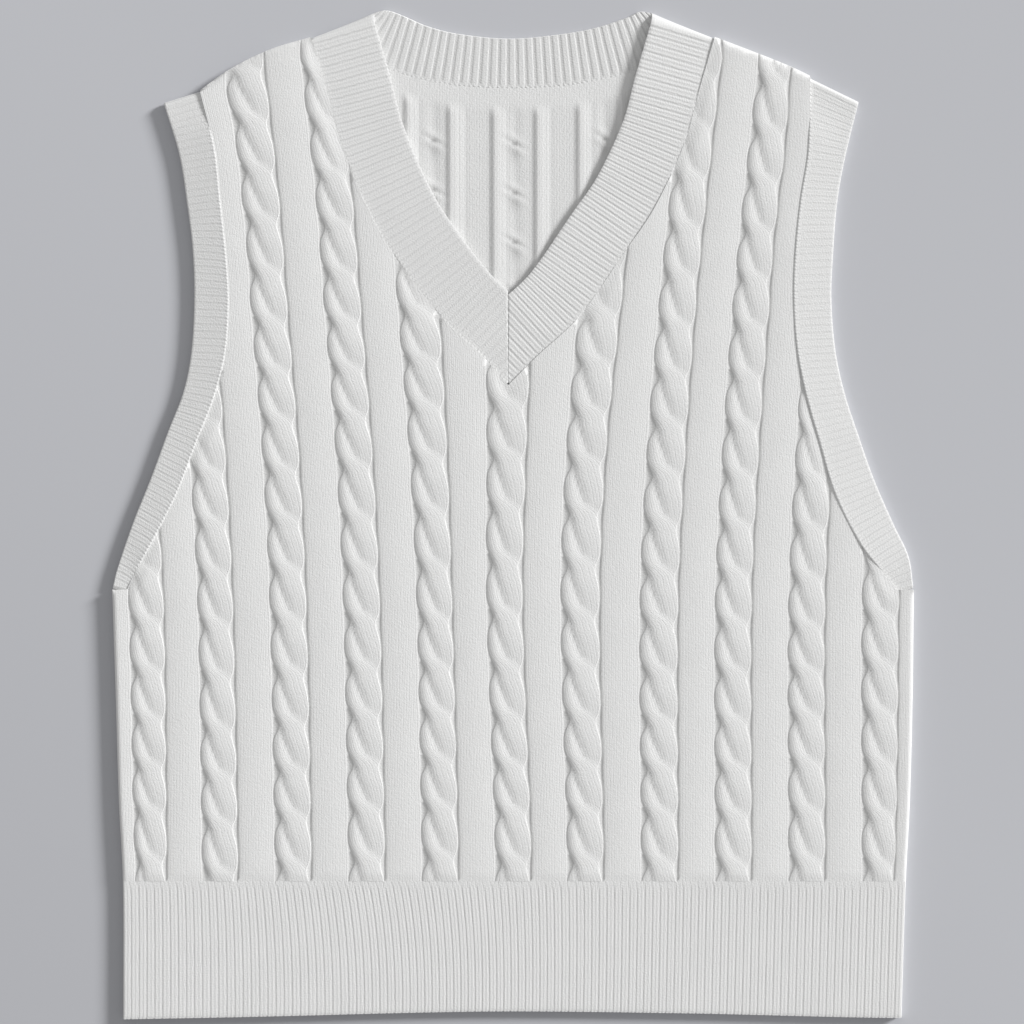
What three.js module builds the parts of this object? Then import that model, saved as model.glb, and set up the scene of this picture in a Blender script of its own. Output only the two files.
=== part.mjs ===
// A cable-knit sweater vest lying flat on its back, front side up.
//
// Millimetres, +Z up. +X runs to the right of the picture and +Y from the hem to the neck.
// Outlines are given as x from the centre line and "up" above the lowest point of the hem; the
// group at the end moves them so that the origin is under the middle of the vest.
//
// The vest is seven knitted pieces: a front and a back panel, a ribbed hem on each, one ribbed
// band round the neck with a mitred joint at centre front, and one ribbed band round each
// armhole. The back lies on the surface, the front lies on the back, and the bands fold over from
// front to back at the shoulders and under the arms.
import * as THREE from "three";

const HEM_HEIGHT = 82; // ribbed hem
const SEAM_GAP = 0.3; // clearance between two pieces at a seam

// Cloth thickness
const BACK_WALL = 2.6;
const FRONT_INSIDE = BACK_WALL + SEAM_GAP; // height of the front panel's plain inner face
const GROOVE_WALL = 1.4; // thinnest cloth, in the purl grooves beside each cable
const STRIPE_WALL = 2.2; // stocking-stitch stripes between cables
const STRIPE_CROWN = 0.8; // extra thickness along the middle of a stripe
const CABLE_RISE = 2.7; // top of a crossing strand above the groove
const EDGE_WALL = 1.2; // where the cloth turns down into a side or shoulder seam
const EDGE_ROLL = 3.5; // width of that turned-down edge
const SIDE_SEAM = 0.07; // width of the column of stitches along a side seam, in cable pitches
const HEM_WALL = 1.8; // hem between its ribs

// Cables
const CABLE_COUNT = 11;
const CABLE_PITCH = 44; // centre to centre
const MIDDLE_CABLE = 6;
const CABLE_HALF = 0.24; // half width as a share of the pitch
const STRIPE_EDGE = 0.28; // where the stripe beside it starts, as a share of the pitch
const CROSSING_PITCH = 29.9; // height from one crossing to the next
const FIRST_CROSSING = 88.2; // height of the lowest crossing
const STRAND_BASE = 0.45; // height of the crease between two strands, as a share of the rise
const SEAM_FADE = 8; // height over which a cable flattens towards a seam
const SEAM_SHARE = 0.5; // share of its rise that is left there
const ROWS_PER_CROSSING = 4;
// Columns of points across a cable, in half widths, and how far below a crossing the crease
// between two strands passes each of them, as a share of the crossing pitch
const CABLE_COLUMNS = [
  { across: -1, fall: 0 },
  { across: -0.66, fall: 0.06 },
  { across: -0.25, fall: 0.36 },
  { across: 0.15, fall: 0.85 },
  { across: 0.6, fall: 1.1 },
  { across: 1, fall: 1.15 },
];

// Ribs
const HEM_RIBS = 102;
// The hem's ribs swing to the right on their way down, most at one place on the left half.
const HEM_SWING = { most: 9, x: -110, spread: 105 };
const RIB_RISE = 0.6;
const ARM_RIB_PITCH = 4.3; // along the middle of an armhole band
const NECK_RIB_PITCH = 5; // along the front neck seam
const BACK_RIB_PITCH = 5.4; // along the middle of the back of the neckband
const NECKBAND_WIDTH = 39;
const RIB_SMOOTHING = 18; // stretch of seam over which the direction of a rib is averaged

// Neck and armhole bands in section
const BAND_BACK_TOP = 2.3; // upper face of the half that lies underneath
const BAND_FRONT_INSIDE = 2.9; // lower face of the half that lies on top
const BAND_FRONT_WALL = 1.8;
const BAND_NECK_WALL = 1.7; // back of the neckband between its ribs
const FOLD_AXIS = (BAND_BACK_TOP + BAND_FRONT_INSIDE) / 2;
const FOLD_STEPS = 4;
const NECK_LIFT = 1.5; // how far the free edge of the V stands off the back panel
const NECK_SEAM_LIFT = 1.2; // how far its sewn edge rides up beside the front panel
const SHOULDER_LIFT = 3; // extra height of the free edge where it folds at the right shoulder
const SHOULDER_REACH = 90; // length of seam over which that height is lost
const ARM_SEAM_LIFT = 1.6; // how far an armhole band slopes up to the panel it is sewn to
const ARM_LIFT_REACH = 30; // length over which it does so from either fold

// Raised knit columns on the inside of the back panel, seen through the neck
const BACK_COLUMN = { width: 8, bevel: 1.6, rise: 1.4, belowSeam: 9.5 };
const BACK_COLUMNS = [
  { x: -61.2, bottom: 511 },
  { x: -33.9, bottom: 466 },
  { x: -7.8, bottom: 437 },
  { x: 18.3, bottom: 450 },
  { x: 43.8, bottom: 480 },
  { x: 67.5, bottom: 522 },
];

// Distance of the side edges from the centre line
const SIDES = [
  { up: 0, left: -233.4, right: 232.6 },
  { up: 82, left: -233.6, right: 235.2 },
  { up: 130, left: -236, right: 237.6 },
  { up: 190, left: -237.8, right: 239.2 },
  { up: 257, left: -240, right: 240 },
];
// Lower edge of the hem
const HEM_EDGE = [
  { x: -240, up: 0 },
  { x: -160, up: 1.6 },
  { x: -70, up: 4 },
  { x: 0, up: 4.9 },
  { x: 110, up: 3.6 },
  { x: 200, up: 1.4 },
  { x: 240, up: 0.8 },
];
// Outward lean of the cables: of the first one, of those up to the middle one, of the middle
// one, of the one right of it, and of the others. The middle one's is counted to the right.
const LEAN = [
  { up: 82, first: -1.6, left: 0, middle: -0.4, beside: -1.4, right: -0.6 },
  { up: 110, first: -1.6, left: 0.3, middle: -0.5, beside: -1.6, right: -0.6 },
  { up: 250, first: -0.2, left: 3.2, middle: -6, beside: -4.6, right: -0.5 },
  { up: 340, first: 6, left: 7.7, middle: -4.4, beside: -0.8, right: 3.8 },
  { up: 430, first: 12, left: 14.8, middle: -3, beside: 9.4, right: 10.3 },
  { up: 490, first: 18, left: 19.4, middle: -3, beside: 16, right: 16.2 },
  { up: 575, first: 28, left: 28.8, middle: -3, beside: 26, right: 25.6 },
];
// How much lower than an even spacing the crossings of each cable lie, from the left
const CROSSING_DROP = [
  { up: 118, c1: -4.5, c2: 3.5, c3: -1, c4: -5.5, c5: -7, c6: -4, c7: -4, c8: -3, c9: -2, c10: -4, c11: -1.5 },
  { up: 178, c1: 0.5, c2: 6.5, c3: 3, c4: -2, c5: -3, c6: -0.5, c7: -0.5, c8: 2, c9: 2, c10: -1, c11: -2.5 },
  { up: 238, c1: 2.5, c2: 4, c3: 1.5, c4: 0.5, c5: 0.5, c6: -2, c7: -1.5, c8: 2.5, c9: 3, c10: 5.5, c11: -1 },
  { up: 298, c1: 2.5, c2: 3, c3: 1, c4: 0, c5: -3, c6: -6, c7: -3.5, c8: 3.5, c9: 4.5, c10: 6.5, c11: -1 },
  { up: 357, c1: 2.5, c2: 3, c3: 1.5, c4: -1.5, c5: -7, c6: -8, c7: -4, c8: 3.5, c9: 4.5, c10: 6.5, c11: -1 },
  { up: 417, c1: 2.5, c2: 3, c3: 2.5, c4: 2, c5: -4, c6: -8, c7: -2.5, c8: 4, c9: 5, c10: 6.5, c11: -1 },
  { up: 477, c1: 2.5, c2: 3, c3: 1, c4: 3.5, c5: -4, c6: -8, c7: -2.5, c8: 5, c9: 7.5, c10: 6.5, c11: -1 },
];
// Front neck seam, from the shoulder down to the point of the V
const FRONT_NECK = [
  { up: 588, left: -120.8, right: 120.8 },
  { up: 554.5, left: -111.2, right: 111 },
  { up: 524, left: -103, right: 102.5 },
  { up: 485.4, left: -87.1, right: 84.6 },
  { up: 459.7, left: -72.6, right: 67.2 },
  { up: 419.4, left: -42, right: 38.6 },
  { up: 395.4, left: -16.8, right: 13 },
  { up: 379.2, left: -3, right: -3 },
];
// Shoulder seams, from the armhole band to the neckband
const LEFT_SHOULDER = [
  { x: -187.5, up: 556 },
  { x: -170, up: 568.4 },
  { x: -145.8, up: 580.4 },
  { x: -120.8, up: 588 },
];
const RIGHT_SHOULDER = [
  { x: 120.8, up: 588 },
  { x: 143.4, up: 579.4 },
  { x: 166, up: 570.4 },
  { x: 178, up: 564.6 },
];
// Armhole bands: matching points of the edge sewn to the panels and of the free edge
const LEFT_ARMBAND = [
  { seamX: -231, seamUp: 257, freeX: -239.6, freeUp: 259 },
  { seamX: -227, seamUp: 266, freeX: -236.5, freeUp: 271 },
  { seamX: -214, seamUp: 290, freeX: -227.4, freeUp: 297.5 },
  { seamX: -201.5, seamUp: 315, freeX: -217, freeUp: 323.5 },
  { seamX: -190, seamUp: 345, freeX: -206.5, freeUp: 352 },
  { seamX: -179.4, seamUp: 372, freeX: -197.4, freeUp: 375.5 },
  { seamX: -172.6, seamUp: 399, freeX: -192.6, freeUp: 400 },
  { seamX: -170.6, seamUp: 430, freeX: -190.9, freeUp: 431 },
  { seamX: -172.2, seamUp: 458, freeX: -191.8, freeUp: 459.5 },
  { seamX: -175.5, seamUp: 489, freeX: -195, freeUp: 486.5 },
  { seamX: -179, seamUp: 521, freeX: -199.8, freeUp: 517 },
  { seamX: -187.5, seamUp: 556, freeX: -209.4, freeUp: 549 },
];
const RIGHT_ARMBAND = [
  { seamX: 229.5, seamUp: 257, freeX: 239.6, freeUp: 259 },
  { seamX: 221, seamUp: 268, freeX: 236.8, freeUp: 277 },
  { seamX: 208, seamUp: 285, freeX: 227.5, freeUp: 297 },
  { seamX: 193.2, seamUp: 314.5, freeX: 216.2, freeUp: 323 },
  { seamX: 184, seamUp: 345, freeX: 206.3, freeUp: 351 },
  { seamX: 176, seamUp: 373, freeX: 198.4, freeUp: 375.5 },
  { seamX: 170.6, seamUp: 400, freeX: 193, freeUp: 401 },
  { seamX: 168.4, seamUp: 430, freeX: 190.7, freeUp: 431 },
  { seamX: 169.2, seamUp: 458, freeX: 191.8, freeUp: 459 },
  { seamX: 172.4, seamUp: 490, freeX: 194.2, freeUp: 489 },
  { seamX: 177, seamUp: 520, freeX: 199, freeUp: 516 },
  { seamX: 178, seamUp: 564.6, freeX: 207.2, freeUp: 549.6 },
];
// Back of the neckband, from one shoulder to the other
const BACK_NECK = [
  { seamX: -120.8, seamUp: 588, freeX: -84, freeUp: 602.4 },
  { seamX: -98, seamUp: 577.5, freeX: -76, freeUp: 604.4 },
  { seamX: -76.4, seamUp: 569.6, freeX: -66, freeUp: 601.2 },
  { seamX: -58.2, seamUp: 563.6, freeX: -51, freeUp: 594.8 },
  { seamX: -36, seamUp: 559.4, freeX: -32, freeUp: 590.2 },
  { seamX: -2.6, seamUp: 557.5, freeX: -2.6, freeUp: 587.5 },
  { seamX: 30, seamUp: 559, freeX: 27, freeUp: 589.9 },
  { seamX: 56, seamUp: 563.3, freeX: 49.5, freeUp: 594 },
  { seamX: 79.6, seamUp: 569.8, freeX: 68, freeUp: 600 },
  { seamX: 98, seamUp: 577, freeX: 76, freeUp: 603.6 },
  { seamX: 120.8, seamUp: 588, freeX: 84, freeUp: 602.4 },
];
const V_POINT = { x: -3, up: 379.2 };
const UNDERARM = 257;
const NECK_CORNER = { x: 120.8, up: 588 }; // where front, back and neckband meet, on each side
const ARM_TANGENT = 430; // above this height the armhole seam runs along one knit column

const { lerp, clamp, smoothstep } = THREE.MathUtils;

// Value of a table's column at a height, on a smooth curve through its rows.
function column(table, key, at, by = "up") {
  const last = table.length - 1;
  const rising = table[last][by] > table[0][by];
  const rows = rising ? table : [...table].reverse();
  const i = clamp(rows.findIndex((row) => row[by] > at) - 1, 0, last - 1);
  const start = at >= rows[last][by] ? last - 1 : i;
  const [a, b] = [rows[start], rows[start + 1]];
  const before = rows[Math.max(start - 1, 0)];
  const after = rows[Math.min(start + 2, last)];
  const span = b[by] - a[by];
  const slopeIn = (b[key] - before[key]) / (b[by] - before[by]);
  const slopeOut = (after[key] - a[key]) / (after[by] - a[by]);
  const t = clamp((at - a[by]) / span, 0, 1);
  const cubic = t * t * (3 - 2 * t);
  const ease = t * (1 - t) * span;
  return lerp(a[key], b[key], cubic) + ease * ((1 - t) * slopeIn - t * slopeOut);
}

// Height between low and high at which a falling or rising function passes zero.
function crossing(f, low, high) {
  const sign = Math.sign(f(low));
  for (let i = 0; i < 40; i++) {
    const middle = (low + high) / 2;
    if (Math.sign(f(middle)) === sign) low = middle;
    else high = middle;
  }
  return (low + high) / 2;
}

const seamOf = (table) => table.map((row) => ({ up: row.seamUp, x: row.seamX }));
const leftArm = (up) => column(seamOf(LEFT_ARMBAND), "x", up);
const rightArm = (up) => column(seamOf(RIGHT_ARMBAND), "x", up);

// Centre line of cable number k, counted from the left.
function cableX(k, up) {
  const plumb = (k - MIDDLE_CABLE) * CABLE_PITCH;
  if (k === 1) return plumb - column(LEAN, "first", up);
  if (k < MIDDLE_CABLE) return plumb - column(LEAN, "left", up);
  if (k === MIDDLE_CABLE) return plumb + column(LEAN, "middle", up);
  return plumb + column(LEAN, k === MIDDLE_CABLE + 1 ? "beside" : "right", up);
}

// The knit columns: wale w lies over cable k where w = k. The outermost ones follow the side
// edges below the arms, and the armhole seams above them.
const LEFT_ARM_WALE =
  3 - (cableX(3, ARM_TANGENT) - leftArm(ARM_TANGENT)) / CABLE_PITCH;
const RIGHT_ARM_WALE =
  9 + (rightArm(ARM_TANGENT) - cableX(9, ARM_TANGENT)) / CABLE_PITCH;
const LEFT_SIDE_WALE = 0.54;
const RIGHT_SIDE_WALE = CABLE_COUNT + 1 - LEFT_SIDE_WALE;

const cableOf = (w) => clamp(Math.round(w), 1, CABLE_COUNT);

// Crossings passed at a height on wale w. Whole numbers are crossings.
function cablePhase(w, up) {
  const drop = column(CROSSING_DROP, `c${cableOf(w)}`, up);
  return (up + drop - FIRST_CROSSING) / CROSSING_PITCH;
}

// A cable is drawn in at its crossings and swells between them, which moves its edges.
function edgeWave(w, up) {
  const off = w - cableOf(w);
  const turn = 2 * Math.PI * cablePhase(w, up);
  const swell = off < 0 ? 0.5 + 0.45 * Math.cos(turn) : 0.35 + 0.5 * Math.cos(turn - 0.8 * Math.PI);
  return swell * Math.exp(-(((Math.abs(off) - CABLE_HALF) / 0.09) ** 2));
}

function waleX(w, up) {
  return evenWaleX(w, up) + edgeWave(w, up);
}

function evenWaleX(w, up) {
  if (up > ARM_TANGENT && w < 3)
    return lerp(leftArm(up), cableX(3, up), (w - LEFT_ARM_WALE) / (3 - LEFT_ARM_WALE));
  if (up > ARM_TANGENT && w > 9)
    return lerp(cableX(9, up), rightArm(up), (w - 9) / (RIGHT_ARM_WALE - 9));
  if (w < 1) {
    const edge = column(SIDES, "left", up);
    return lerp(edge, cableX(1, up), (w - LEFT_SIDE_WALE) / (1 - LEFT_SIDE_WALE));
  }
  if (w > CABLE_COUNT) {
    const edge = column(SIDES, "right", up);
    const share = (w - CABLE_COUNT) / (RIGHT_SIDE_WALE - CABLE_COUNT);
    return lerp(cableX(CABLE_COUNT, up), edge, share);
  }
  const k = Math.min(Math.floor(w), CABLE_COUNT - 1);
  return lerp(cableX(k, up), cableX(k + 1, up), w - k);
}

const frontNeck = (side, up) => column(FRONT_NECK, side, up);
const LEFT_NECK_WALE = crossing((w) => waleX(w, NECK_CORNER.up) + NECK_CORNER.x, 3, 6);
const RIGHT_NECK_WALE = crossing((w) => waleX(w, NECK_CORNER.up) - NECK_CORNER.x, 6, 9);
const POINT_WALE = crossing((w) => waleX(w, V_POINT.up) - V_POINT.x, 5, 7);
const LEFT_UNDERARM_WALE = crossing((w) => waleX(w, UNDERARM) + 231, 0.6, 2);
const RIGHT_UNDERARM_WALE = crossing((w) => waleX(w, UNDERARM) - 229.5, 10, 11.4);

// Height at which wale w meets the upper outline of the front panel.
function frontTop(w) {
  if (w <= LEFT_UNDERARM_WALE || w >= RIGHT_UNDERARM_WALE) return UNDERARM;
  if (w < LEFT_ARM_WALE)
    return crossing((up) => waleX(w, up) - leftArm(up), UNDERARM - 1, ARM_TANGENT);
  if (w > RIGHT_ARM_WALE)
    return crossing((up) => waleX(w, up) - rightArm(up), UNDERARM - 1, ARM_TANGENT);
  if (w <= LEFT_NECK_WALE)
    return crossing((up) => up - column(LEFT_SHOULDER, "up", waleX(w, up), "x"), 500, 600);
  if (w >= RIGHT_NECK_WALE)
    return crossing((up) => up - column(RIGHT_SHOULDER, "up", waleX(w, up), "x"), 500, 600);
  if (w === POINT_WALE) return V_POINT.up;
  const side = w < POINT_WALE ? "left" : "right";
  return crossing((up) => waleX(w, up) - frontNeck(side, up), V_POINT.up - 0.01, NECK_CORNER.up);
}

// Edges of a strand at a height, counted in crossing pitches below its crossing, and its crest.
// It comes up at the left edge, crosses over to the right and dives under the next one.
const crease = (below) => -0.9 + 1.15 * Math.max(below, 0) ** 0.55;
function strandLines(below) {
  const head = lerp(-1.4, crease(0), smoothstep(below, -0.35, 0));
  const left = below > 0 ? crease(below) : head;
  const right = lerp(crease(below + 1), 1.5, smoothstep(below, -0.3, 0.02));
  const crest = -0.66 + 1.38 * smoothstep(below, -0.5, 0.65);
  return { left, right, crest: clamp(crest, left + 0.1, right - 0.1) };
}

// Height of the two twisting strands above the groove, from 0 to 1.
function strandHeight(across, phase) {
  let height = 0;
  for (const strand of [0, 1, 2].map((n) => Math.floor(phase) + n)) {
    const below = strand - phase;
    const { left, right, crest } = strandLines(below);
    if (across <= left || across >= right) continue;
    const span = across < crest ? crest - left : right - crest;
    const rounded = 1 - (Math.abs(across - crest) / span) ** 2.2;
    const prominence = smoothstep(below, -1.02, -0.6) * (1 - smoothstep(below, 0.3, 1.25));
    height = Math.max(height, rounded * prominence);
  }
  return STRAND_BASE + (1 - STRAND_BASE) * height;
}

// Rise from 0 at an edge to 1 inside it, round like folded cloth.
const roll = (distance) => Math.sqrt(1 - (1 - clamp(distance / EDGE_ROLL, 0, 1)) ** 2);

// Thickness of the front panel on wale w at a height.
function frontWall(w, up, top) {
  const off = w - cableOf(w);
  const nearHem = smoothstep(up, HEM_HEIGHT, HEM_HEIGHT + SEAM_FADE);
  const nearTop = smoothstep(top - up, 0, SEAM_FADE);
  let wall = GROOVE_WALL;
  if (Math.abs(off) < CABLE_HALF - 0.001)
    wall +=
      CABLE_RISE *
      lerp(SEAM_SHARE, 1, nearHem * nearTop) *
      strandHeight(off / CABLE_HALF, cablePhase(w, up));
  if (Math.abs(off) >= STRIPE_EDGE - 0.001) {
    const outward = clamp((0.5 - Math.abs(off)) / (0.5 - CABLE_HALF), 0, 1);
    wall = STRIPE_WALL + STRIPE_CROWN * (1 - outward ** 2);
  }
  const fromSide = Math.min(
    waleX(w, up) - column(SIDES, "left", up),
    column(SIDES, "right", up) - waleX(w, up),
  );
  const turned = up < UNDERARM ? roll(fromSide) : 1;
  const isShoulder =
    (w >= LEFT_ARM_WALE && w <= LEFT_NECK_WALE) ||
    (w >= RIGHT_NECK_WALE && w <= RIGHT_ARM_WALE);
  const overShoulder = isShoulder ? roll(top - up) : 1;
  return lerp(EDGE_WALL, wall, Math.min(turned, overShoulder));
}

// Collects triangles of one closed body.
class Body {
  points = [];
  faces = [];
  add(x, y, z) {
    return this.points.push([x, y, z]) - 1;
  }
  triangle(a, b, c) {
    this.faces.push(a, b, c);
  }
  quad(a, b, c, d) {
    this.triangle(a, b, c);
    this.triangle(a, c, d);
  }
  // Joins two rising lists of { point, at } with a strip of triangles, left list first.
  zip(left, right) {
    let [i, j] = [0, 0];
    while (i < left.length - 1 || j < right.length - 1) {
      const rest = j === right.length - 1;
      if (rest || (i < left.length - 1 && left[i + 1].at <= right[j + 1].at))
        this.triangle(left[i].point, right[j].point, left[++i].point);
      else this.triangle(left[i].point, right[j].point, right[++j].point);
    }
  }
  // A wall down from a counterclockwise loop to a flat face at the given height.
  closeBelow(loop, height) {
    const flat = (list) => list.map((p) => new THREE.Vector2(...this.points[p]));
    const lower = loop.map((p) => {
      const [x, y] = this.points[p];
      return this.add(x, y, height);
    });
    loop.forEach((p, i) => {
      const next = (i + 1) % loop.length;
      this.quad(p, lower[i], lower[next], loop[next]);
    });
    for (const [a, b, c] of THREE.ShapeUtils.triangulateShape(flat(loop), []))
      this.triangle(lower[c], lower[b], lower[a]);
  }
  // Turns every face round if they point inwards.
  facingOut() {
    const [a, b, c] = [0, 0, 0].map(() => new THREE.Vector3());
    let volume = 0;
    for (let i = 0; i < this.faces.length; i += 3) {
      [a, b, c].forEach((corner, n) => corner.set(...this.points[this.faces[i + n]]));
      volume += a.dot(b.cross(c));
    }
    if (volume < 0) this.faces.reverse();
    return this;
  }
  geometry() {
    const made = new THREE.BufferGeometry();
    made.setAttribute("position", new THREE.Float32BufferAttribute(this.points.flat(), 3));
    made.setIndex(this.faces);
    made.computeVertexNormals();
    return made;
  }
}

// The wales at which the front panel has a column of points, from left to right.
function frontWales() {
  const wales = [LEFT_SIDE_WALE, RIGHT_SIDE_WALE, LEFT_UNDERARM_WALE, RIGHT_UNDERARM_WALE];
  wales.push(LEFT_SIDE_WALE + SIDE_SEAM, RIGHT_SIDE_WALE - SIDE_SEAM);
  wales.push(LEFT_ARM_WALE, RIGHT_ARM_WALE, POINT_WALE, LEFT_NECK_WALE, RIGHT_NECK_WALE);
  for (const inward of [0.02, 0.05, 0.09]) {
    wales.push(LEFT_ARM_WALE - inward, RIGHT_ARM_WALE + inward);
  }
  for (let k = 1; k <= CABLE_COUNT; k++) {
    for (const { across } of CABLE_COLUMNS) wales.push(k + across * CABLE_HALF);
    for (const side of [-1, 1]) wales.push(k + side * STRIPE_EDGE);
    if (k < CABLE_COUNT) wales.push(k + 0.5);
  }
  const sorted = wales
    .filter((w) => w >= LEFT_SIDE_WALE && w <= RIGHT_SIDE_WALE)
    .sort((a, b) => a - b);
  return sorted.filter((w, i) => i === 0 || w - sorted[i - 1] > 0.012);
}

const inCable = (w) => Math.abs(w - Math.round(w)) <= CABLE_HALF + 0.001;

// How far below a crossing the crease passes a place across the cable.
function fallAt(across) {
  const found = CABLE_COLUMNS.findIndex((item) => item.across >= across - 0.001);
  const i = clamp(found, 1, CABLE_COLUMNS.length - 1);
  const [a, b] = [CABLE_COLUMNS[i - 1], CABLE_COLUMNS[i]];
  return lerp(a.fall, b.fall, clamp((across - a.across) / (b.across - a.across), 0, 1));
}

// One column of points up the front panel. "corner" is where the armhole leaves it.
function frontColumn(body, w) {
  const bottom = HEM_HEIGHT + SEAM_GAP;
  const top = frontTop(w);
  const onArm = w === LEFT_ARM_WALE || w === RIGHT_ARM_WALE;
  const across = (w - Math.round(w)) / CABLE_HALF;
  const tilt = inCable(w) ? fallAt(across) : 0;
  const steps = inCable(w) ? ROWS_PER_CROSSING : 1;
  const levels = [bottom, top];
  if (onArm) levels.push(ARM_TANGENT);
  if (top > UNDERARM + 200) levels.push(top - EDGE_ROLL);
  const room = inCable(w) ? 2.5 : 8;
  const lastRow = Math.ceil(cablePhase(w, top) + 2) * steps;
  for (let row = -steps; row <= lastRow; row++) {
    const target = row / steps - tilt;
    const up = crossing((h) => cablePhase(w, h) - target, -200, 900);
    const clear = levels.every((level) => Math.abs(level - up) > room);
    if (up > bottom && up < top && clear) levels.push(up);
  }
  levels.sort((a, b) => a - b);
  const rows = levels.map((up) => ({
    up,
    phase: cablePhase(w, up) + tilt,
    point: body.add(waleX(w, up), up, FRONT_INSIDE + frontWall(w, up, top)),
  }));
  return { w, rows, corner: onArm ? ARM_TANGENT : top };
}

function frontPanel() {
  const body = new Body();
  const columns = frontWales().map((w) => frontColumn(body, w));
  for (let i = 0; i + 1 < columns.length; i++) {
    const [left, right] = [columns[i], columns[i + 1]];
    const cable = inCable(left.w) && inCable(right.w) && right.w - left.w < 0.3;
    const list = (line, limit) =>
      line.rows
        .filter((row) => row.up <= limit + 0.001)
        .map((row) => ({ point: row.point, at: cable ? row.phase : row.up }));
    const leftLimit = left.w === RIGHT_ARM_WALE ? ARM_TANGENT : Infinity;
    const rightLimit = right.w === LEFT_ARM_WALE ? ARM_TANGENT : Infinity;
    body.zip(list(left, leftLimit), list(right, rightLimit));
  }
  const loop = outlineOf(columns);
  const outline = loop.map((p) => body.points[p].slice(0, 2));
  body.closeBelow(loop, FRONT_INSIDE);
  return { body, outline };
}

// The points round the front panel, counterclockwise from its lower left corner.
function outlineOf(columns) {
  const ends = (line) => [line.rows[0].point, line.rows[line.rows.length - 1].point];
  const up = columns[columns.length - 1].rows.map((row) => row.point);
  const down = columns[0].rows.map((row) => row.point).reverse();
  const loop = columns.slice(0, -1).map((line) => ends(line)[0]);
  loop.push(...up);
  for (const line of columns.slice(1, -1).reverse()) {
    const above = line.rows.filter((row) => row.up >= ARM_TANGENT - 0.001).map((r) => r.point);
    if (line.w === RIGHT_ARM_WALE) loop.push(...above);
    else if (line.w === LEFT_ARM_WALE) loop.push(...above.reverse());
    else loop.push(ends(line)[1]);
  }
  loop.push(...down.slice(0, -1));
  return loop;
}

// The nearest point of an open outline to a point.
function snap(outline, [x, y]) {
  let best = null;
  for (let i = 0; i + 1 < outline.length; i++) {
    const [[ax, ay], [bx, by]] = [outline[i], outline[i + 1]];
    const [dx, dy] = [bx - ax, by - ay];
    const t = clamp(((x - ax) * dx + (y - ay) * dy) / (dx * dx + dy * dy), 0, 1);
    const found = [ax + t * dx, ay + t * dy];
    const away = Math.hypot(found[0] - x, found[1] - y);
    if (!best || away < best.away) best = { found, away };
  }
  return best.found;
}

// Evenly spaced pairs of points along two curves given by a table's matching rows.
function pairsAlong(table, spacing) {
  const curve = (x, up) =>
    new THREE.CatmullRomCurve3(
      table.map((row) => new THREE.Vector3(row[x], row[up], 0)),
      false,
      "centripetal",
    );
  const seam = curve("seamX", "seamUp");
  const free = curve("freeX", "freeUp");
  const fine = 800;
  const middle = (t) => seam.getPoint(t).lerp(free.getPoint(t), 0.5);
  const travelled = [0];
  for (let i = 1; i <= fine; i++)
    travelled.push(travelled[i - 1] + middle(i / fine).distanceTo(middle((i - 1) / fine)));
  const total = travelled[fine];
  const count = 2 * Math.round(total / spacing / 2);
  return Array.from({ length: count + 1 }, (_, n) => {
    const i = Math.min(travelled.findIndex((d) => d >= (n / count) * total - 1e-9), fine);
    const t = i / fine;
    const [s, f] = [seam.getPoint(t), free.getPoint(t)];
    return { seam: [s.x, s.y], free: [f.x, f.y] };
  });
}

const toward = ([ax, ay], [bx, by], by_mm) => {
  const length = Math.hypot(bx - ax, by - ay);
  return [ax + ((bx - ax) * by_mm) / length, ay + ((by - ay) * by_mm) / length];
};

// A band's section where it lies on top: inner face down, ribs up.
function upperSection({ seam, free, seamLift = 0, lift = 0 }, isRib) {
  const wall = BAND_FRONT_WALL + (isRib ? RIB_RISE : 0);
  const sewn = BAND_FRONT_INSIDE + seamLift;
  const edge = BAND_FRONT_INSIDE + lift;
  return {
    innerSeam: [...seam, sewn],
    innerFree: [...free, edge],
    outerSeam: [...seam, sewn + wall],
    outerFree: [...free, edge + wall],
  };
}

// A band's section where it lies underneath, flat on the surface.
function lowerSection({ seam, free }, top) {
  return {
    innerSeam: [...seam, top],
    innerFree: [...free, top],
    outerSeam: [...seam, 0],
    outerFree: [...free, 0],
  };
}

// Sections that carry a band round its fold, from the pair on top to the pair underneath.
function foldSections(upper, lower, outward) {
  const gap = (BAND_FRONT_INSIDE - BAND_BACK_TOP) / 2;
  const reach = BAND_FRONT_INSIDE + BAND_FRONT_WALL - FOLD_AXIS;
  return Array.from({ length: FOLD_STEPS - 1 }, (_, i) => {
    const share = (i + 1) / FOLD_STEPS;
    const angle = Math.PI * share;
    const outer = lerp(reach, FOLD_AXIS, share);
    const lift = { seam: upper.seamLift ?? 0, free: upper.lift ?? 0 };
    const at = (key, radius) => [
      lerp(upper[key][0], lower[key][0], share) + outward[key][0] * radius * Math.sin(angle),
      lerp(upper[key][1], lower[key][1], share) + outward[key][1] * radius * Math.sin(angle),
      FOLD_AXIS + radius * Math.cos(angle) + lift[key] * (1 - share),
    ];
    return {
      innerSeam: at("seam", gap),
      innerFree: at("free", gap),
      outerSeam: at("seam", outer),
      outerFree: at("free", outer),
    };
  });
}

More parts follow.
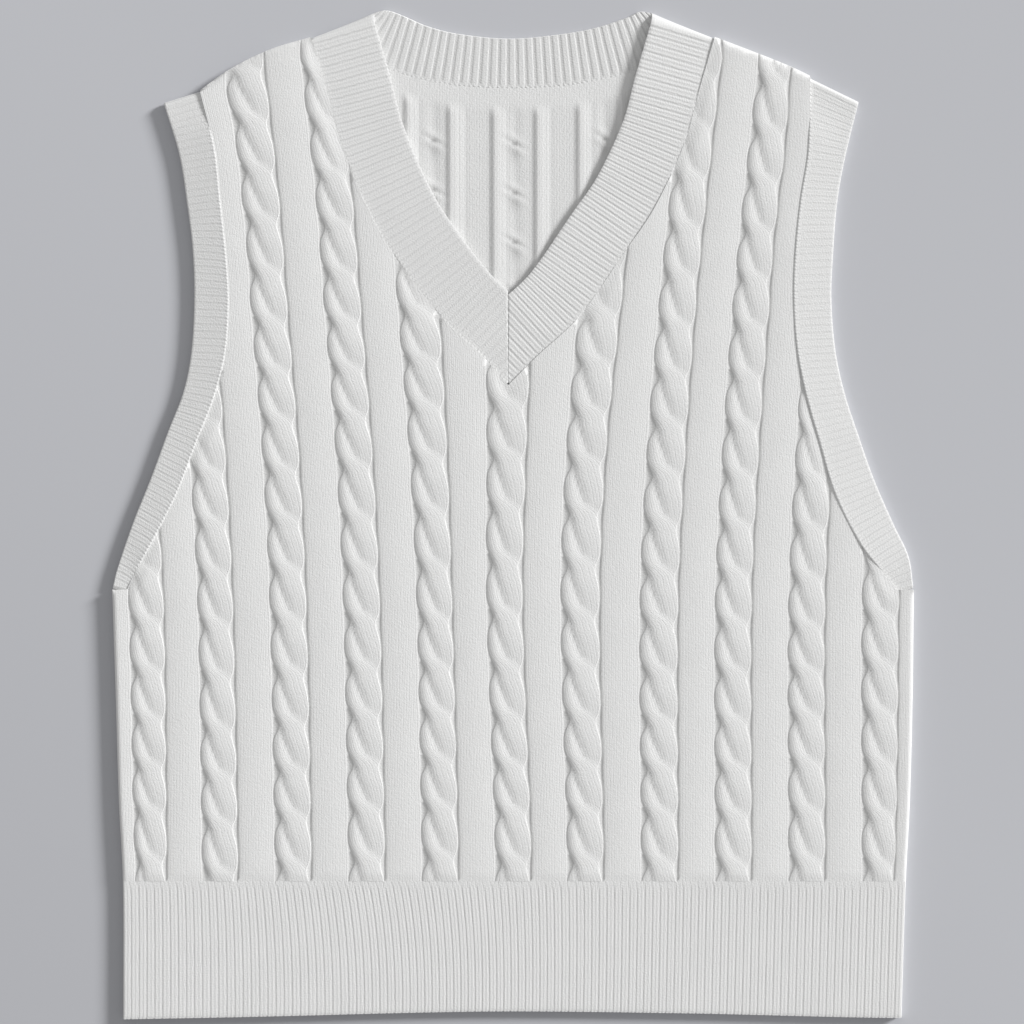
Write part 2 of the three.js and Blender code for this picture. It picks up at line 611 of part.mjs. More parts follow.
// A strip through the sections, closed into a ring or capped at both ends.
function strip(sections, isRing) {
  const body = new Body();
  const rings = sections.map((s) =>
    [s.innerSeam, s.innerFree, s.outerFree, s.outerSeam].map((p) => body.add(...p)),
  );
  const count = isRing ? rings.length : rings.length - 1;
  for (let i = 0; i < count; i++) {
    const [here, next] = [rings[i], rings[(i + 1) % rings.length]];
    for (let side = 0; side < 4; side++) {
      const other = (side + 1) % 4;
      body.quad(here[side], next[side], next[other], here[other]);
    }
  }
  if (!isRing) {
    const [first, last] = [rings[0], rings[rings.length - 1]];
    body.quad(first[0], first[1], first[2], first[3]);
    body.quad(last[3], last[2], last[1], last[0]);
  }
  return body.facingOut();
}

const between = (a, b, share) => [lerp(a[0], b[0], share), lerp(a[1], b[1], share)];

// Shortens a run of pairs at its end to leave room for a fold that reaches back to that end.
function shorten(pairs, spacing) {
  const back = (FOLD_AXIS + SEAM_GAP) / spacing;
  const kept = pairs.slice(0, Math.max(pairs.length - 1 - Math.ceil(back), 1));
  const [a, b] = [Math.ceil(back), Math.floor(back)].map((n) => pairs[pairs.length - 1 - n]);
  const share = Math.ceil(back) - back;
  const end = { ...b, seam: between(a.seam, b.seam, share), free: between(a.free, b.free, share) };
  return [...kept, end];
}

// Unit vectors that continue a run of pairs past its end, along the seam and the free edge.
function onward(pairs) {
  const [last, before] = [pairs[pairs.length - 1], pairs[pairs.length - 2]];
  const unit = (key) => {
    const [dx, dy] = [last[key][0] - before[key][0], last[key][1] - before[key][1]];
    return [dx / Math.hypot(dx, dy), dy / Math.hypot(dx, dy)];
  };
  return { seam: unit("seam"), free: unit("free") };
}

// The band round one armhole, a ring folded at the shoulder and under the arm.
function armband(table, armhole) {
  const spacing = ARM_RIB_PITCH / 2;
  const all = pairsAlong(table, spacing).map(({ seam, free }) => ({
    seam: toward(snap(armhole, seam), free, SEAM_GAP),
    free,
  }));
  const upper = shorten(shorten(all, spacing).reverse(), spacing).reverse();
  upper.forEach((pair, i) => {
    const fromFold = spacing * Math.min(i, upper.length - 1 - i);
    pair.seamLift = ARM_SEAM_LIFT * smoothstep(fromFold, 0, ARM_LIFT_REACH);
  });
  const [first, last] = [upper[0], upper[upper.length - 1]];
  const [low, high] = [onward([...upper].reverse()), onward(upper)];
  const lower = upper.filter((_, i) => i % 4 === 0 || i === upper.length - 1).reverse();
  return strip(
    [
      ...upper.map((pair, i) => upperSection(pair, i % 2 === 1)),
      ...foldSections(last, last, high),
      ...lower.map((pair) => lowerSection(pair, BAND_BACK_TOP)),
      ...foldSections(first, first, low).reverse(),
    ],
    true,
  );
}

// Sections of one side of the V, from the shoulder down to the mitred joint at centre front.
function neckSide(side, outline) {
  const sign = side === "left" ? 1 : -1; // direction from the seam to the opening
  const rows = FRONT_NECK.map((row) => new THREE.Vector3(row[side], row.up, 0));
  const curve = new THREE.CatmullRomCurve3(rows, false, "centripetal");
  const joint = V_POINT.x - (sign * SEAM_GAP) / 2;
  const length = curve.getLength();
  const count = 2 * Math.round(length / NECK_RIB_PITCH);
  const pairs = [];
  for (let i = 0; i < count; i++) {
    const t = i / count;
    const at = curve.getPointAt(t);
    const reach = RIB_SMOOTHING / length;
    const along = curve.getPointAt(Math.min(t + reach, 1));
    along.sub(curve.getPointAt(Math.max(t - reach, 0))).normalize();
    const across = [-along.y * sign, along.x * sign];
    const room = (joint - at.x) / across[0];
    const width = Math.min(NECKBAND_WIDTH, room);
    if (width < 1.5) break;
    const free = [at.x + across[0] * width, at.y + across[1] * width];
    const rise = smoothstep(t, 0, 0.2) * (width / NECKBAND_WIDTH);
    const shoulder = side === "right" ? 1 - smoothstep(t * length, 0, SHOULDER_REACH) : 0;
    pairs.push({
      seam: toward(snap(outline, [at.x, at.y]), free, SEAM_GAP),
      free,
      seamLift: NECK_SEAM_LIFT * rise,
      lift: NECK_LIFT * rise + SHOULDER_LIFT * shoulder,
    });
  }
  return pairs;
}

// The neckband, one strip from the joint at centre front, round the back and down again.
function neckband(leftOutline, rightOutline, backOutline) {
  const spacing = BACK_RIB_PITCH / 2;
  const frontSpacing = NECK_RIB_PITCH / 2;
  const left = shorten(neckSide("left", leftOutline).reverse(), frontSpacing);
  const right = shorten(neckSide("right", rightOutline).reverse(), frontSpacing).reverse();
  const all = pairsAlong(BACK_NECK, spacing).map(({ seam, free }) => ({
    seam: toward(snap(backOutline, seam), free, SEAM_GAP),
    free,
  }));
  const back = shorten(shorten(all, spacing).reverse(), spacing).reverse();
  const { seamX, seamUp, freeX, freeUp } = BACK_NECK[0];
  const foldLength = Math.hypot(freeX - seamX, freeUp - seamUp);
  const [across, along] = [(freeUp - seamUp) / foldLength, (freeX - seamX) / foldLength];
  const [outLeft, outRight] = [[-across, along], [across, along]];
  return strip(
    [
      ...left.map((pair, i) => upperSection(pair, i % 2 === 1)),
      ...foldSections(left[left.length - 1], back[0], { seam: outLeft, free: outLeft }),
      ...back.map((pair, i) =>
        lowerSection(pair, BAND_NECK_WALL + (i % 2 === 1 ? RIB_RISE : 0)),
      ),
      ...foldSections(right[0], back[back.length - 1], {
        seam: outRight,
        free: outRight,
      }).reverse(),
      ...right.map((pair, i) => upperSection(pair, i % 2 === 1)),
    ],
    false,
  );
}

// The back panel: the front's outline with a higher neck, flat on both faces apart from the
// raised knit columns that show through the neck.
function backPanel(outline, backNeck) {
  const body = new Body();
  const margin = NECK_CORNER.x + SEAM_GAP;
  const kept = outline.filter(([x, up]) => Math.abs(x) > margin || up < V_POINT.up - 1);
  const start = kept.findIndex(([x, up]) => x < 0 && up > ARM_TANGENT);
  const neck = [...backNeck].reverse().slice(1, -1);
  const corner = NECK_CORNER.up - 1;
  kept.splice(start, 0, [margin, corner], ...neck, [-margin, corner]);
  const loop = kept.map(([x, up]) => body.add(x, up, BACK_WALL));
  const holes = BACK_COLUMNS.map((item) => raisedColumn(body, item));
  const corners = (list) => list.map((p) => new THREE.Vector2(...body.points[p]));
  const all = [...loop, ...holes.flat()];
  const top = THREE.ShapeUtils.triangulateShape(corners(loop), holes.map(corners));
  for (const [a, b, c] of top) body.triangle(all[a], all[b], all[c]);
  body.closeBelow(loop, 0);
  return body;
}

// A low bar with sloping sides; returns its foot, clockwise, to leave open in the face below.
function raisedColumn(body, { x, bottom }) {
  const { width, bevel, rise, belowSeam } = BACK_COLUMN;
  const top = column(BACK_NECK, "seamUp", x, "seamX") - belowSeam;
  const corners = (margin, z) => {
    const half = width / 2 - margin;
    const [low, high] = [bottom + margin, top - margin];
    return [
      body.add(x - half, low, z),
      body.add(x + half, low, z),
      body.add(x + half, high, z),
      body.add(x - half, high, z),
    ];
  };
  const foot = corners(0, BACK_WALL);
  const head = corners(bevel, BACK_WALL + rise);
  foot.forEach((p, i) => {
    const next = (i + 1) % 4;
    body.quad(p, foot[next], head[next], head[i]);
  });
  body.quad(...head);
  return foot.reverse();
}

const hemLean = (x) =>
  HEM_SWING.most * Math.exp(-(((x - HEM_SWING.x) / HEM_SWING.spread) ** 2));

// The front hem, with its ribs as alternating lines of points.
function frontHem() {
  const body = new Body();
  const top = HEM_HEIGHT;
  const lines = [];
  const count = 2 * HEM_RIBS;
  for (let i = 0; i <= count; i++) {
    const share = i / count;
    const at = (up, s = share) => lerp(column(SIDES, "left", up), column(SIDES, "right", up), s);
    const foot = column(HEM_EDGE, "up", at(0), "x");
    const rise = i % 2 ? RIB_RISE : 0;
    const fromSide = Math.min(share, 1 - share) * (at(0, 1) - at(0, 0));
    const wall = lerp(EDGE_WALL, HEM_WALL + rise, roll(fromSide));
    const turned = Math.min(wall, HEM_WALL);
    lines.push([
      body.add(at(foot) + hemLean(at(foot)), foot, FRONT_INSIDE + turned),
      body.add(at(foot) + hemLean(at(foot)) * 0.97, foot + 3, FRONT_INSIDE + wall),
      body.add(at(top), top, FRONT_INSIDE + wall),
    ]);
  }
  for (let i = 0; i < count; i++)
    for (let row = 0; row < 2; row++)
      body.quad(lines[i][row], lines[i + 1][row], lines[i + 1][row + 1], lines[i][row + 1]);
  const loop = lines.map((line) => line[0]);
  loop.push(lines[count][1], ...lines.map((line) => line[2]).reverse(), lines[0][1]);
  body.closeBelow(loop, FRONT_INSIDE);
  return body;
}

// The back hem lies under the front one, flat on both faces.
function backHem() {
  const body = new Body();
  const steps = 12;
  const at = (share, up) => lerp(column(SIDES, "left", up), column(SIDES, "right", up), share);
  const loop = [];
  for (let i = 0; i <= steps; i++) {
    const x = at(i / steps, 0);
    const up = column(HEM_EDGE, "up", x, "x");
    loop.push([at(i / steps, up), up]);
  }
  for (let i = steps; i >= 0; i--) loop.push([at(i / steps, HEM_HEIGHT), HEM_HEIGHT]);
  const points = loop.map(([x, up]) => body.add(x, up, BACK_WALL));
  const corners = points.map((p) => new THREE.Vector2(...body.points[p]));
  for (const [a, b, c] of THREE.ShapeUtils.triangulateShape(corners, []))
    body.triangle(points[a], points[b], points[c]);
  body.closeBelow(points, 0);
  return body;
}

// Parts of the front outline between two corners, in the order it is walked.
function stretch(outline, from, to) {
  const nearest = ([x, y]) => {
    const away = outline.map(([px, py]) => Math.hypot(px - x, py - y));
    return away.indexOf(Math.min(...away));
  };
  return outline.slice(nearest(from), nearest(to) + 1);
}

const front = frontPanel();
const rightArmhole = stretch(front.outline, [229.5, UNDERARM], [178, 564.6]);
const [neckRight, neckLeft] = [1, -1].map((side) => [side * NECK_CORNER.x, NECK_CORNER.up]);
const rightNeck = stretch(front.outline, neckRight, [V_POINT.x, V_POINT.up]);
const leftNeck = stretch(front.outline, [V_POINT.x, V_POINT.up], neckLeft);
const leftArmhole = stretch(front.outline, [-187.5, 556], [-231, UNDERARM]);
const backNeckLine = pairsAlong(BACK_NECK, 9).map((pair) => pair.seam);

const yarn = { color: 0xe9e9e8, roughness: 0.92, metalness: 0 };
const pieces = {
  front_panel: front.body,
  back_panel: backPanel(front.outline, backNeckLine),
  front_hem: frontHem(),
  back_hem: backHem(),
  neckband: neckband(leftNeck, rightNeck, backNeckLine),
  left_armband: armband(LEFT_ARMBAND, leftArmhole),
  right_armband: armband(RIGHT_ARMBAND, rightArmhole),
};

const vest = new THREE.Group();
for (const [name, body] of Object.entries(pieces)) {
  const mesh = new THREE.Mesh(body.geometry(), new THREE.MeshStandardMaterial(yarn));
  mesh.name = name;
  vest.add(mesh);
}
const box = new THREE.Box3().setFromObject(vest);
const middle = box.getCenter(new THREE.Vector3());
vest.position.set(-middle.x, -middle.y, -box.min.z);

export default vest;
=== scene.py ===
# %% [markdown]
# # A cable-knit sweater vest, laid flat
# The vest lies on its back, front side up, and is seen from straight above. It is seven knitted
# pieces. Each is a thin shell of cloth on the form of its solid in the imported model, with the
# cables and ribs as real relief and the single stitches as bump.

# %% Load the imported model
import math

import bpy
import numpy as np
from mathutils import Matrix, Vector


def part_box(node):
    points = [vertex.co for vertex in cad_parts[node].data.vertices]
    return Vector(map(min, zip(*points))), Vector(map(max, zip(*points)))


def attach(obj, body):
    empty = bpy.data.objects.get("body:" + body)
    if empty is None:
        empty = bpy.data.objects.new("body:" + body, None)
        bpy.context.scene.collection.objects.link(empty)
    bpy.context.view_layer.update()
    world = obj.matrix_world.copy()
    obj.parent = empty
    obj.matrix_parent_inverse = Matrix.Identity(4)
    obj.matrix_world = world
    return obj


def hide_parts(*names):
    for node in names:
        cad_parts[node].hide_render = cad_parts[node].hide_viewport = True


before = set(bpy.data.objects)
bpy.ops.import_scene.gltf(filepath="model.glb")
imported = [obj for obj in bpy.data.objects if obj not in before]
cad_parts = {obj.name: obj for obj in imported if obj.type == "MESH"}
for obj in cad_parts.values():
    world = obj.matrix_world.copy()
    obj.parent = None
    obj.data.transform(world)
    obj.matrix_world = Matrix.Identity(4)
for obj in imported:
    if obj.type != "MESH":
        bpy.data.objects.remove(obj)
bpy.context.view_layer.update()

# %% [markdown]
# ## Sizes
# A vest that lies flat is almost a drawing, so it is laid out like a knitter's plan: x from the
# centre line, and "up" above the lowest point of the hem, in millimetres. Metres would do too, but
# cloth is easier to think of in millimetres, and the points become metres where they are set. The
# front panel starts one seam gap above the hem, which ties "up" to the model's Y.

# %% Sizes of the cloth
MM = 0.001
HEM_HEIGHT = 82
SEAM_GAP = 0.3
MIDDLE_UP = HEM_HEIGHT + SEAM_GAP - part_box("front_panel")[0][1] / MM
BACK_WALL = 2.6
FRONT_INSIDE = BACK_WALL + SEAM_GAP
CABLE_COUNT = 11
print("The model's middle is", round(MIDDLE_UP, 1), "mm above the foot of the hem")

# %% [markdown]
# ## Outlines
# Knitted edges are soft curves. They could be Bezier curves in the scene, but each edge is needed
# many times as a formula, to place points, to cut a panel and to fit a band to it. So each one is
# a short table of a few places along the edge, and a smooth curve runs through its rows.

# %% Sides and foot
SIDES = [
    dict(up=0, left=-233.4, right=232.6),
    dict(up=82, left=-233.6, right=235.2),
    dict(up=130, left=-236, right=237.6),
    dict(up=190, left=-237.8, right=239.2),
    dict(up=257, left=-240, right=240),
]
HEM_EDGE = [
    dict(x=-240, up=0),
    dict(x=-160, up=1.6),
    dict(x=-70, up=4),
    dict(x=0, up=4.9),
    dict(x=110, up=3.6),
    dict(x=200, up=1.4),
    dict(x=240, up=0.8),
]

# %% [markdown]
# The cables aren't plumb, and no two of them cross at the same heights. One table says how far they
# lean outwards at each height: the first one, the others left of the middle, the one right beside
# the middle and the rest on the right. The middle one has moved to the right by its own value. The
# other table says how far each cable's crossings hang below an even spacing.

# %% Lean and crossings of the cables
LEAN = [
    dict(up=82, first=-1.6, left=0, middle=-0.4, beside=-1.4, right=-0.6),
    dict(up=110, first=-1.6, left=0.3, middle=-0.5, beside=-1.6, right=-0.6),
    dict(up=250, first=-0.2, left=3.2, middle=-6, beside=-4.6, right=-0.5),
    dict(up=340, first=6, left=7.7, middle=-4.4, beside=-0.8, right=3.8),
    dict(up=430, first=12, left=14.8, middle=-3, beside=9.4, right=10.3),
    dict(up=490, first=18, left=19.4, middle=-3, beside=16, right=16.2),
    dict(up=575, first=28, left=28.8, middle=-3, beside=26, right=25.6),
]
CROSSING_DROP = [
    dict(up=118, c1=-4.5, c2=3.5, c3=-1, c4=-5.5, c5=-7, c6=-4, c7=-4, c8=-3, c9=-2, c10=-4, c11=-1.5),
    dict(up=178, c1=0.5, c2=6.5, c3=3, c4=-2, c5=-3, c6=-0.5, c7=-0.5, c8=2, c9=2, c10=-1, c11=-2.5),
    dict(up=238, c1=2.5, c2=4, c3=1.5, c4=0.5, c5=0.5, c6=-2, c7=-1.5, c8=2.5, c9=3, c10=5.5, c11=-1),
    dict(up=298, c1=2.5, c2=3, c3=1, c4=0, c5=-3, c6=-6, c7=-3.5, c8=3.5, c9=4.5, c10=6.5, c11=-1),
    dict(up=357, c1=2.5, c2=3, c3=1.5, c4=-1.5, c5=-7, c6=-8, c7=-4, c8=3.5, c9=4.5, c10=6.5, c11=-1),
    dict(up=417, c1=2.5, c2=3, c3=2.5, c4=2, c5=-4, c6=-8, c7=-2.5, c8=4, c9=5, c10=6.5, c11=-1),
    dict(up=477, c1=2.5, c2=3, c3=1, c4=3.5, c5=-4, c6=-8, c7=-2.5, c8=5, c9=7.5, c10=6.5, c11=-1),
]

# %% [markdown]
# The front's neck is a deep V and the shoulders slope down to the armholes. A band has a seam edge
# and a free edge, so its rows are pairs of points, one on each, as a rib runs from one to the other.

# %% Neck and shoulders
FRONT_NECK = [
    dict(up=588, left=-120.8, right=120.8),
    dict(up=554.5, left=-111.2, right=111),
    dict(up=524, left=-103, right=102.5),
    dict(up=485.4, left=-87.1, right=84.6),
    dict(up=459.7, left=-72.6, right=67.2),
    dict(up=419.4, left=-42, right=38.6),
    dict(up=395.4, left=-16.8, right=13),
    dict(up=379.2, left=-3, right=-3),
]
LEFT_SHOULDER = [
    dict(x=-187.5, up=556),
    dict(x=-170, up=568.4),
    dict(x=-145.8, up=580.4),
    dict(x=-120.8, up=588),
]
RIGHT_SHOULDER = [
    dict(x=120.8, up=588),
    dict(x=143.4, up=579.4),
    dict(x=166, up=570.4),
    dict(x=178, up=564.6),
]

# %% Armhole bands
LEFT_ARMBAND = [
    dict(seam_x=-231, seam_up=257, free_x=-239.6, free_up=259),
    dict(seam_x=-227, seam_up=266, free_x=-236.5, free_up=271),
    dict(seam_x=-214, seam_up=290, free_x=-227.4, free_up=297.5),
    dict(seam_x=-201.5, seam_up=315, free_x=-217, free_up=323.5),
    dict(seam_x=-190, seam_up=345, free_x=-206.5, free_up=352),
    dict(seam_x=-179.4, seam_up=372, free_x=-197.4, free_up=375.5),
    dict(seam_x=-172.6, seam_up=399, free_x=-192.6, free_up=400),
    dict(seam_x=-170.6, seam_up=430, free_x=-190.9, free_up=431),
    dict(seam_x=-172.2, seam_up=458, free_x=-191.8, free_up=459.5),
    dict(seam_x=-175.5, seam_up=489, free_x=-195, free_up=486.5),
    dict(seam_x=-179, seam_up=521, free_x=-199.8, free_up=517),
    dict(seam_x=-187.5, seam_up=556, free_x=-209.4, free_up=549),
]
RIGHT_ARMBAND = [
    dict(seam_x=229.5, seam_up=257, free_x=239.6, free_up=259),
    dict(seam_x=221, seam_up=268, free_x=236.8, free_up=277),
    dict(seam_x=208, seam_up=285, free_x=227.5, free_up=297),
    dict(seam_x=193.2, seam_up=314.5, free_x=216.2, free_up=323),
    dict(seam_x=184, seam_up=345, free_x=206.3, free_up=351),
    dict(seam_x=176, seam_up=373, free_x=198.4, free_up=375.5),
    dict(seam_x=170.6, seam_up=400, free_x=193, free_up=401),
    dict(seam_x=168.4, seam_up=430, free_x=190.7, free_up=431),
    dict(seam_x=169.2, seam_up=458, free_x=191.8, free_up=459),
    dict(seam_x=172.4, seam_up=490, free_x=194.2, free_up=489),
    dict(seam_x=177, seam_up=520, free_x=199, free_up=516),
    dict(seam_x=178, seam_up=564.6, free_x=207.2, free_up=549.6),
]

# %% Band round the back of the neck
BACK_NECK = [
    dict(seam_x=-120.8, seam_up=588, free_x=-84, free_up=602.4),
    dict(seam_x=-98, seam_up=577.5, free_x=-76, free_up=604.4),
    dict(seam_x=-76.4, seam_up=569.6, free_x=-66, free_up=601.2),
    dict(seam_x=-58.2, seam_up=563.6, free_x=-51, free_up=594.8),
    dict(seam_x=-36, seam_up=559.4, free_x=-32, free_up=590.2),
    dict(seam_x=-2.6, seam_up=557.5, free_x=-2.6, free_up=587.5),
    dict(seam_x=30, seam_up=559, free_x=27, free_up=589.9),
    dict(seam_x=56, seam_up=563.3, free_x=49.5, free_up=594),
    dict(seam_x=79.6, seam_up=569.8, free_x=68, free_up=600),
    dict(seam_x=98, seam_up=577, free_x=76, free_up=603.6),
    dict(seam_x=120.8, seam_up=588, free_x=84, free_up=602.4),
]

# %% [markdown]
# ## Smooth steps and curves
# Nothing in knitwear changes at a hard corner, so all heights here are blended: a step that eases
# in and out, a mix of two values, and a round hill. The curve through a table takes its slope at
# each row from the rows beside it. It passes through every row, which a B-spline would not.

# %% Read a table with a smooth curve
def smoothstep(low, high, value):
    t = np.clip((value - low) / (high - low), 0, 1)
    return t * t * (3 - 2 * t)


def mix(a, b, share):
    return a + (b - a) * share


def hill(distance):
    """A round hill: 1 at distance 0 and almost 0 at distance 2."""
    return np.exp(-(distance**2))


def curve(table, key, by="up"):
    """A function that gives the table's column at any place, smoothly."""
    rows = table if by == "row" else sorted(table, key=lambda row: row[by])
    at = np.array([n if by == "row" else row[by] for n, row in enumerate(rows)], float)
    value = np.array([row[key] for row in rows], float)
    last = len(rows) - 1
    first = np.arange(last)
    before = np.maximum(first - 1, 0)
    after = np.minimum(first + 2, last)
    slope_in = (value[first + 1] - value[before]) / (at[first + 1] - at[before])
    slope_out = (value[after] - value[first]) / (at[after] - at[first])

    def look_up(place):
        place = np.asarray(place, float)
        i = np.clip(np.searchsorted(at, place, side="right") - 1, 0, last - 1)
        span = at[i + 1] - at[i]
        t = np.clip((place - at[i]) / span, 0, 1)
        bend = t * (1 - t) * span * ((1 - t) * slope_in[i] - t * slope_out[i])
        return mix(value[i], value[i + 1], t * t * (3 - 2 * t)) + bend

    return look_up


# %% Curves of the edges
left_side = curve(SIDES, "left")
right_side = curve(SIDES, "right")
hem_edge = curve(HEM_EDGE, "up", by="x")
left_neck = curve(FRONT_NECK, "left")
right_neck = curve(FRONT_NECK, "right")
left_shoulder = curve(LEFT_SHOULDER, "up", by="x")
right_shoulder = curve(RIGHT_SHOULDER, "up", by="x")
left_arm = curve(LEFT_ARMBAND, "seam_x", by="seam_up")
right_arm = curve(RIGHT_ARMBAND, "seam_x", by="seam_up")
back_neck = curve(BACK_NECK, "seam_up", by="seam_x")
lean = {key: curve(LEAN, key) for key in ("first", "left", "middle", "beside", "right")}
drop = [curve(CROSSING_DROP, f"c{k}") for k in range(1, CABLE_COUNT + 1)]
print("The hem is", round(float(right_side(0) - left_side(0)), 1), "mm wide at its foot")

# %% [markdown]
# ## Camera
# The photograph looks straight down from well above, so the lens is long and the frame is just
# a little wider than the vest.

# %% Camera above the vest
CAMERA_HEIGHT = 2.5
FRAME_WIDTH = 0.6144
SENSOR = 36
CAMERA_PLACE = (-0.0006, 0.0012)

camera_data = bpy.data.cameras.new("camera")
camera_data.sensor_width = SENSOR
camera_data.lens = SENSOR * CAMERA_HEIGHT / FRAME_WIDTH
camera = bpy.data.objects.new("camera", camera_data)
camera.location = (*CAMERA_PLACE, CAMERA_HEIGHT)
bpy.context.collection.objects.link(camera)
bpy.context.scene.camera = camera
print("The frame is", FRAME_WIDTH, "m wide and seen from", CAMERA_HEIGHT, "m")

# %% [markdown]
# ## Helpers for materials
# A node material is built node by node. Three helpers keep that readable: one sets or links the
# inputs of a node, one adds a node, and one adds a Math node and hands back its result.


# %% Helpers for shader nodes
def feed(tree, node, inputs):
    """Sets inputs, by name or number, to a plain value or to another node's output."""
    for key_name, value in inputs.items():
        if isinstance(value, bpy.types.NodeSocket):
            tree.links.new(value, node.inputs[key_name])
        else:
            node.inputs[key_name].default_value = value


def add_node(tree, kind, inputs=None, **settings):
    node = tree.nodes.new(kind)
    for key_name, value in settings.items():
        setattr(node, key_name, value)
    feed(tree, node, inputs or {})
    return node


def math_node(tree, operation, *values):
    return add_node(tree, "ShaderNodeMath", dict(enumerate(values)), operation=operation).outputs[0]


# %% [markdown]
# ## Floor
# The vest lies on a plain pale surface, and the light on it falls off towards the lower left. That
# falloff is painted shade: the floor's colour gets a little darker there. A picture could give that,
# but a gradient between two colours is enough, turned and moved by a Mapping node.

# %% Floor
FLOOR_COLOR = (0.527, 0.534, 0.563, 1)
# The floor's colour where the light has fallen off: painted shade.
FLOOR_SHADOW_COLOR = (0.455, 0.46, 0.485, 1)
FLOOR_SIZE = 6
FALL_PLACE = (0.95, 0, 0)
FALL_TURN = (0, 0, math.radians(-48))
FALL_SCALE = (1.9, 1.9, 1.9)


def make_floor_material():
    material = bpy.data.materials.new("plain_floor")
    material.use_nodes = True
    tree = material.node_tree
    place = add_node(tree, "ShaderNodeTexCoord").outputs["Object"]
    mapping = {"Vector": place, "Location": FALL_PLACE, "Rotation": FALL_TURN, "Scale": FALL_SCALE}
    turned = add_node(tree, "ShaderNodeMapping", mapping)
    fall = add_node(tree, "ShaderNodeTexGradient", {"Vector": turned.outputs["Vector"]})
    colors = {"Factor": fall.outputs["Fac"], "A": FLOOR_SHADOW_COLOR, "B": FLOOR_COLOR}
    color = add_node(tree, "ShaderNodeMix", colors, data_type="RGBA")
    shader = tree.nodes["Principled BSDF"]
    feed(tree, shader, {"Base Color": color.outputs["Result"]})
    feed(tree, shader, {"Roughness": 0.9, "Specular IOR Level": 0.1})
    return material


bpy.ops.object.select_all(action="DESELECT")
bpy.ops.mesh.primitive_plane_add(size=FLOOR_SIZE, location=(0, 0, 0))
floor = bpy.context.object
floor.name = "floor"
floor.data.materials.append(make_floor_material())
print("The floor is", FLOOR_SIZE, "m wide")

# %% [markdown]
# ## Light
# One soft key light comes in low from the upper right, so that every cable throws a small shadow to
# its lower left, and an even light from all round fills it. An area light would fall off over the
# vest, so the key is a sun, and its angle says how soft the shadows' edges are.

# %% Key light and fill
KEY_ELEVATION = 21
KEY_AZIMUTH = 26
KEY_STRENGTH = 4.2
KEY_ANGLE = 14
FILL_STRENGTH = 0.445

key_data = bpy.data.lights.new("key", "SUN")
key_data.energy = KEY_STRENGTH
key_data.angle = math.radians(KEY_ANGLE)
key = bpy.data.objects.new("key", key_data)
key.rotation_euler = (0, math.radians(90 - KEY_ELEVATION), math.radians(KEY_AZIMUTH))
bpy.context.collection.objects.link(key)

world = bpy.data.worlds.new("studio")
bpy.context.scene.world = world
world.use_nodes = True
background = world.node_tree.nodes["Background"]
feed(world.node_tree, background, {"Color": (1, 1, 1, 1), "Strength": FILL_STRENGTH})
bpy.context.scene.view_settings.view_transform = "Standard"
print("The key light is", KEY_ELEVATION, "degrees above the floor")

# %% [markdown]
# ## Stitches
# Knit cloth is columns of small V's, called wales, in rows, called courses. At this size the V's
# are too fine for faces, and a picture of knit can't follow a cable, so they are bump from a formula.
# Every piece gets a UV map that counts wales across and courses along, so that one pattern serves
# them all and follows each strand and rib.

# %% Node group: one knit stitch
LEG_SLANT = 0.8
LEG_ROUNDNESS = 0.6
GAP_STEEPNESS = 3.5


def make_stitch_group():
    group = bpy.data.node_groups.new("knit_stitch", "ShaderNodeTree")
    group.interface.new_socket("Stitch", in_out="INPUT", socket_type="NodeSocketVector")
    group.interface.new_socket("Height", in_out="OUTPUT", socket_type="NodeSocketFloat")
    source = group.nodes.new("NodeGroupInput")
    result = group.nodes.new("NodeGroupOutput")
    split = group.nodes.new("ShaderNodeSeparateXYZ")
    group.links.new(source.outputs["Stitch"], split.inputs[0])
    in_wale = math_node(group, "FRACT", split.outputs[0])
    centred = math_node(group, "SUBTRACT", in_wale, 0.5)
    from_middle = math_node(group, "MULTIPLY", math_node(group, "ABSOLUTE", centred), 2)
    slant = math_node(group, "MULTIPLY", from_middle, LEG_SLANT)
    in_course = math_node(group, "FRACT", math_node(group, "SUBTRACT", split.outputs[1], slant))
    leg = math_node(group, "SINE", math_node(group, "MULTIPLY", in_course, math.pi))
    leg = math_node(group, "POWER", math_node(group, "MAXIMUM", leg, 0), LEG_ROUNDNESS)
    from_dip = math_node(group, "MULTIPLY_ADD", from_middle, 2, 0.5)
    from_gap = math_node(group, "MULTIPLY", math_node(group, "SUBTRACT", 1, from_middle), GAP_STEEPNESS)
    across = math_node(group, "MINIMUM", math_node(group, "MINIMUM", from_dip, from_gap), 1)
    body = math_node(group, "MULTIPLY_ADD", leg, 0.5, 0.5)
    height = math_node(group, "MULTIPLY", body, across)
    group.links.new(height, result.inputs["Height"])
    return group


stitch_group = make_stitch_group()
print("The stitch group has", len(stitch_group.nodes), "nodes")

# %% [markdown]
# ## Yarn
# Wool yarn is fuzzy, its colour is a little patchy, and no two stitches sit quite alike. Both knits
# are of the same yarn, so these three effects are one node group of noises on Object coordinates,
# from coarse to very fine.

# %% Node group: wool yarn
WANDER_SCALE = 260
FUZZ_SCALE = 900
MOTTLE_SCALE = 60
FUZZ_IN_PATCHES = 0.6


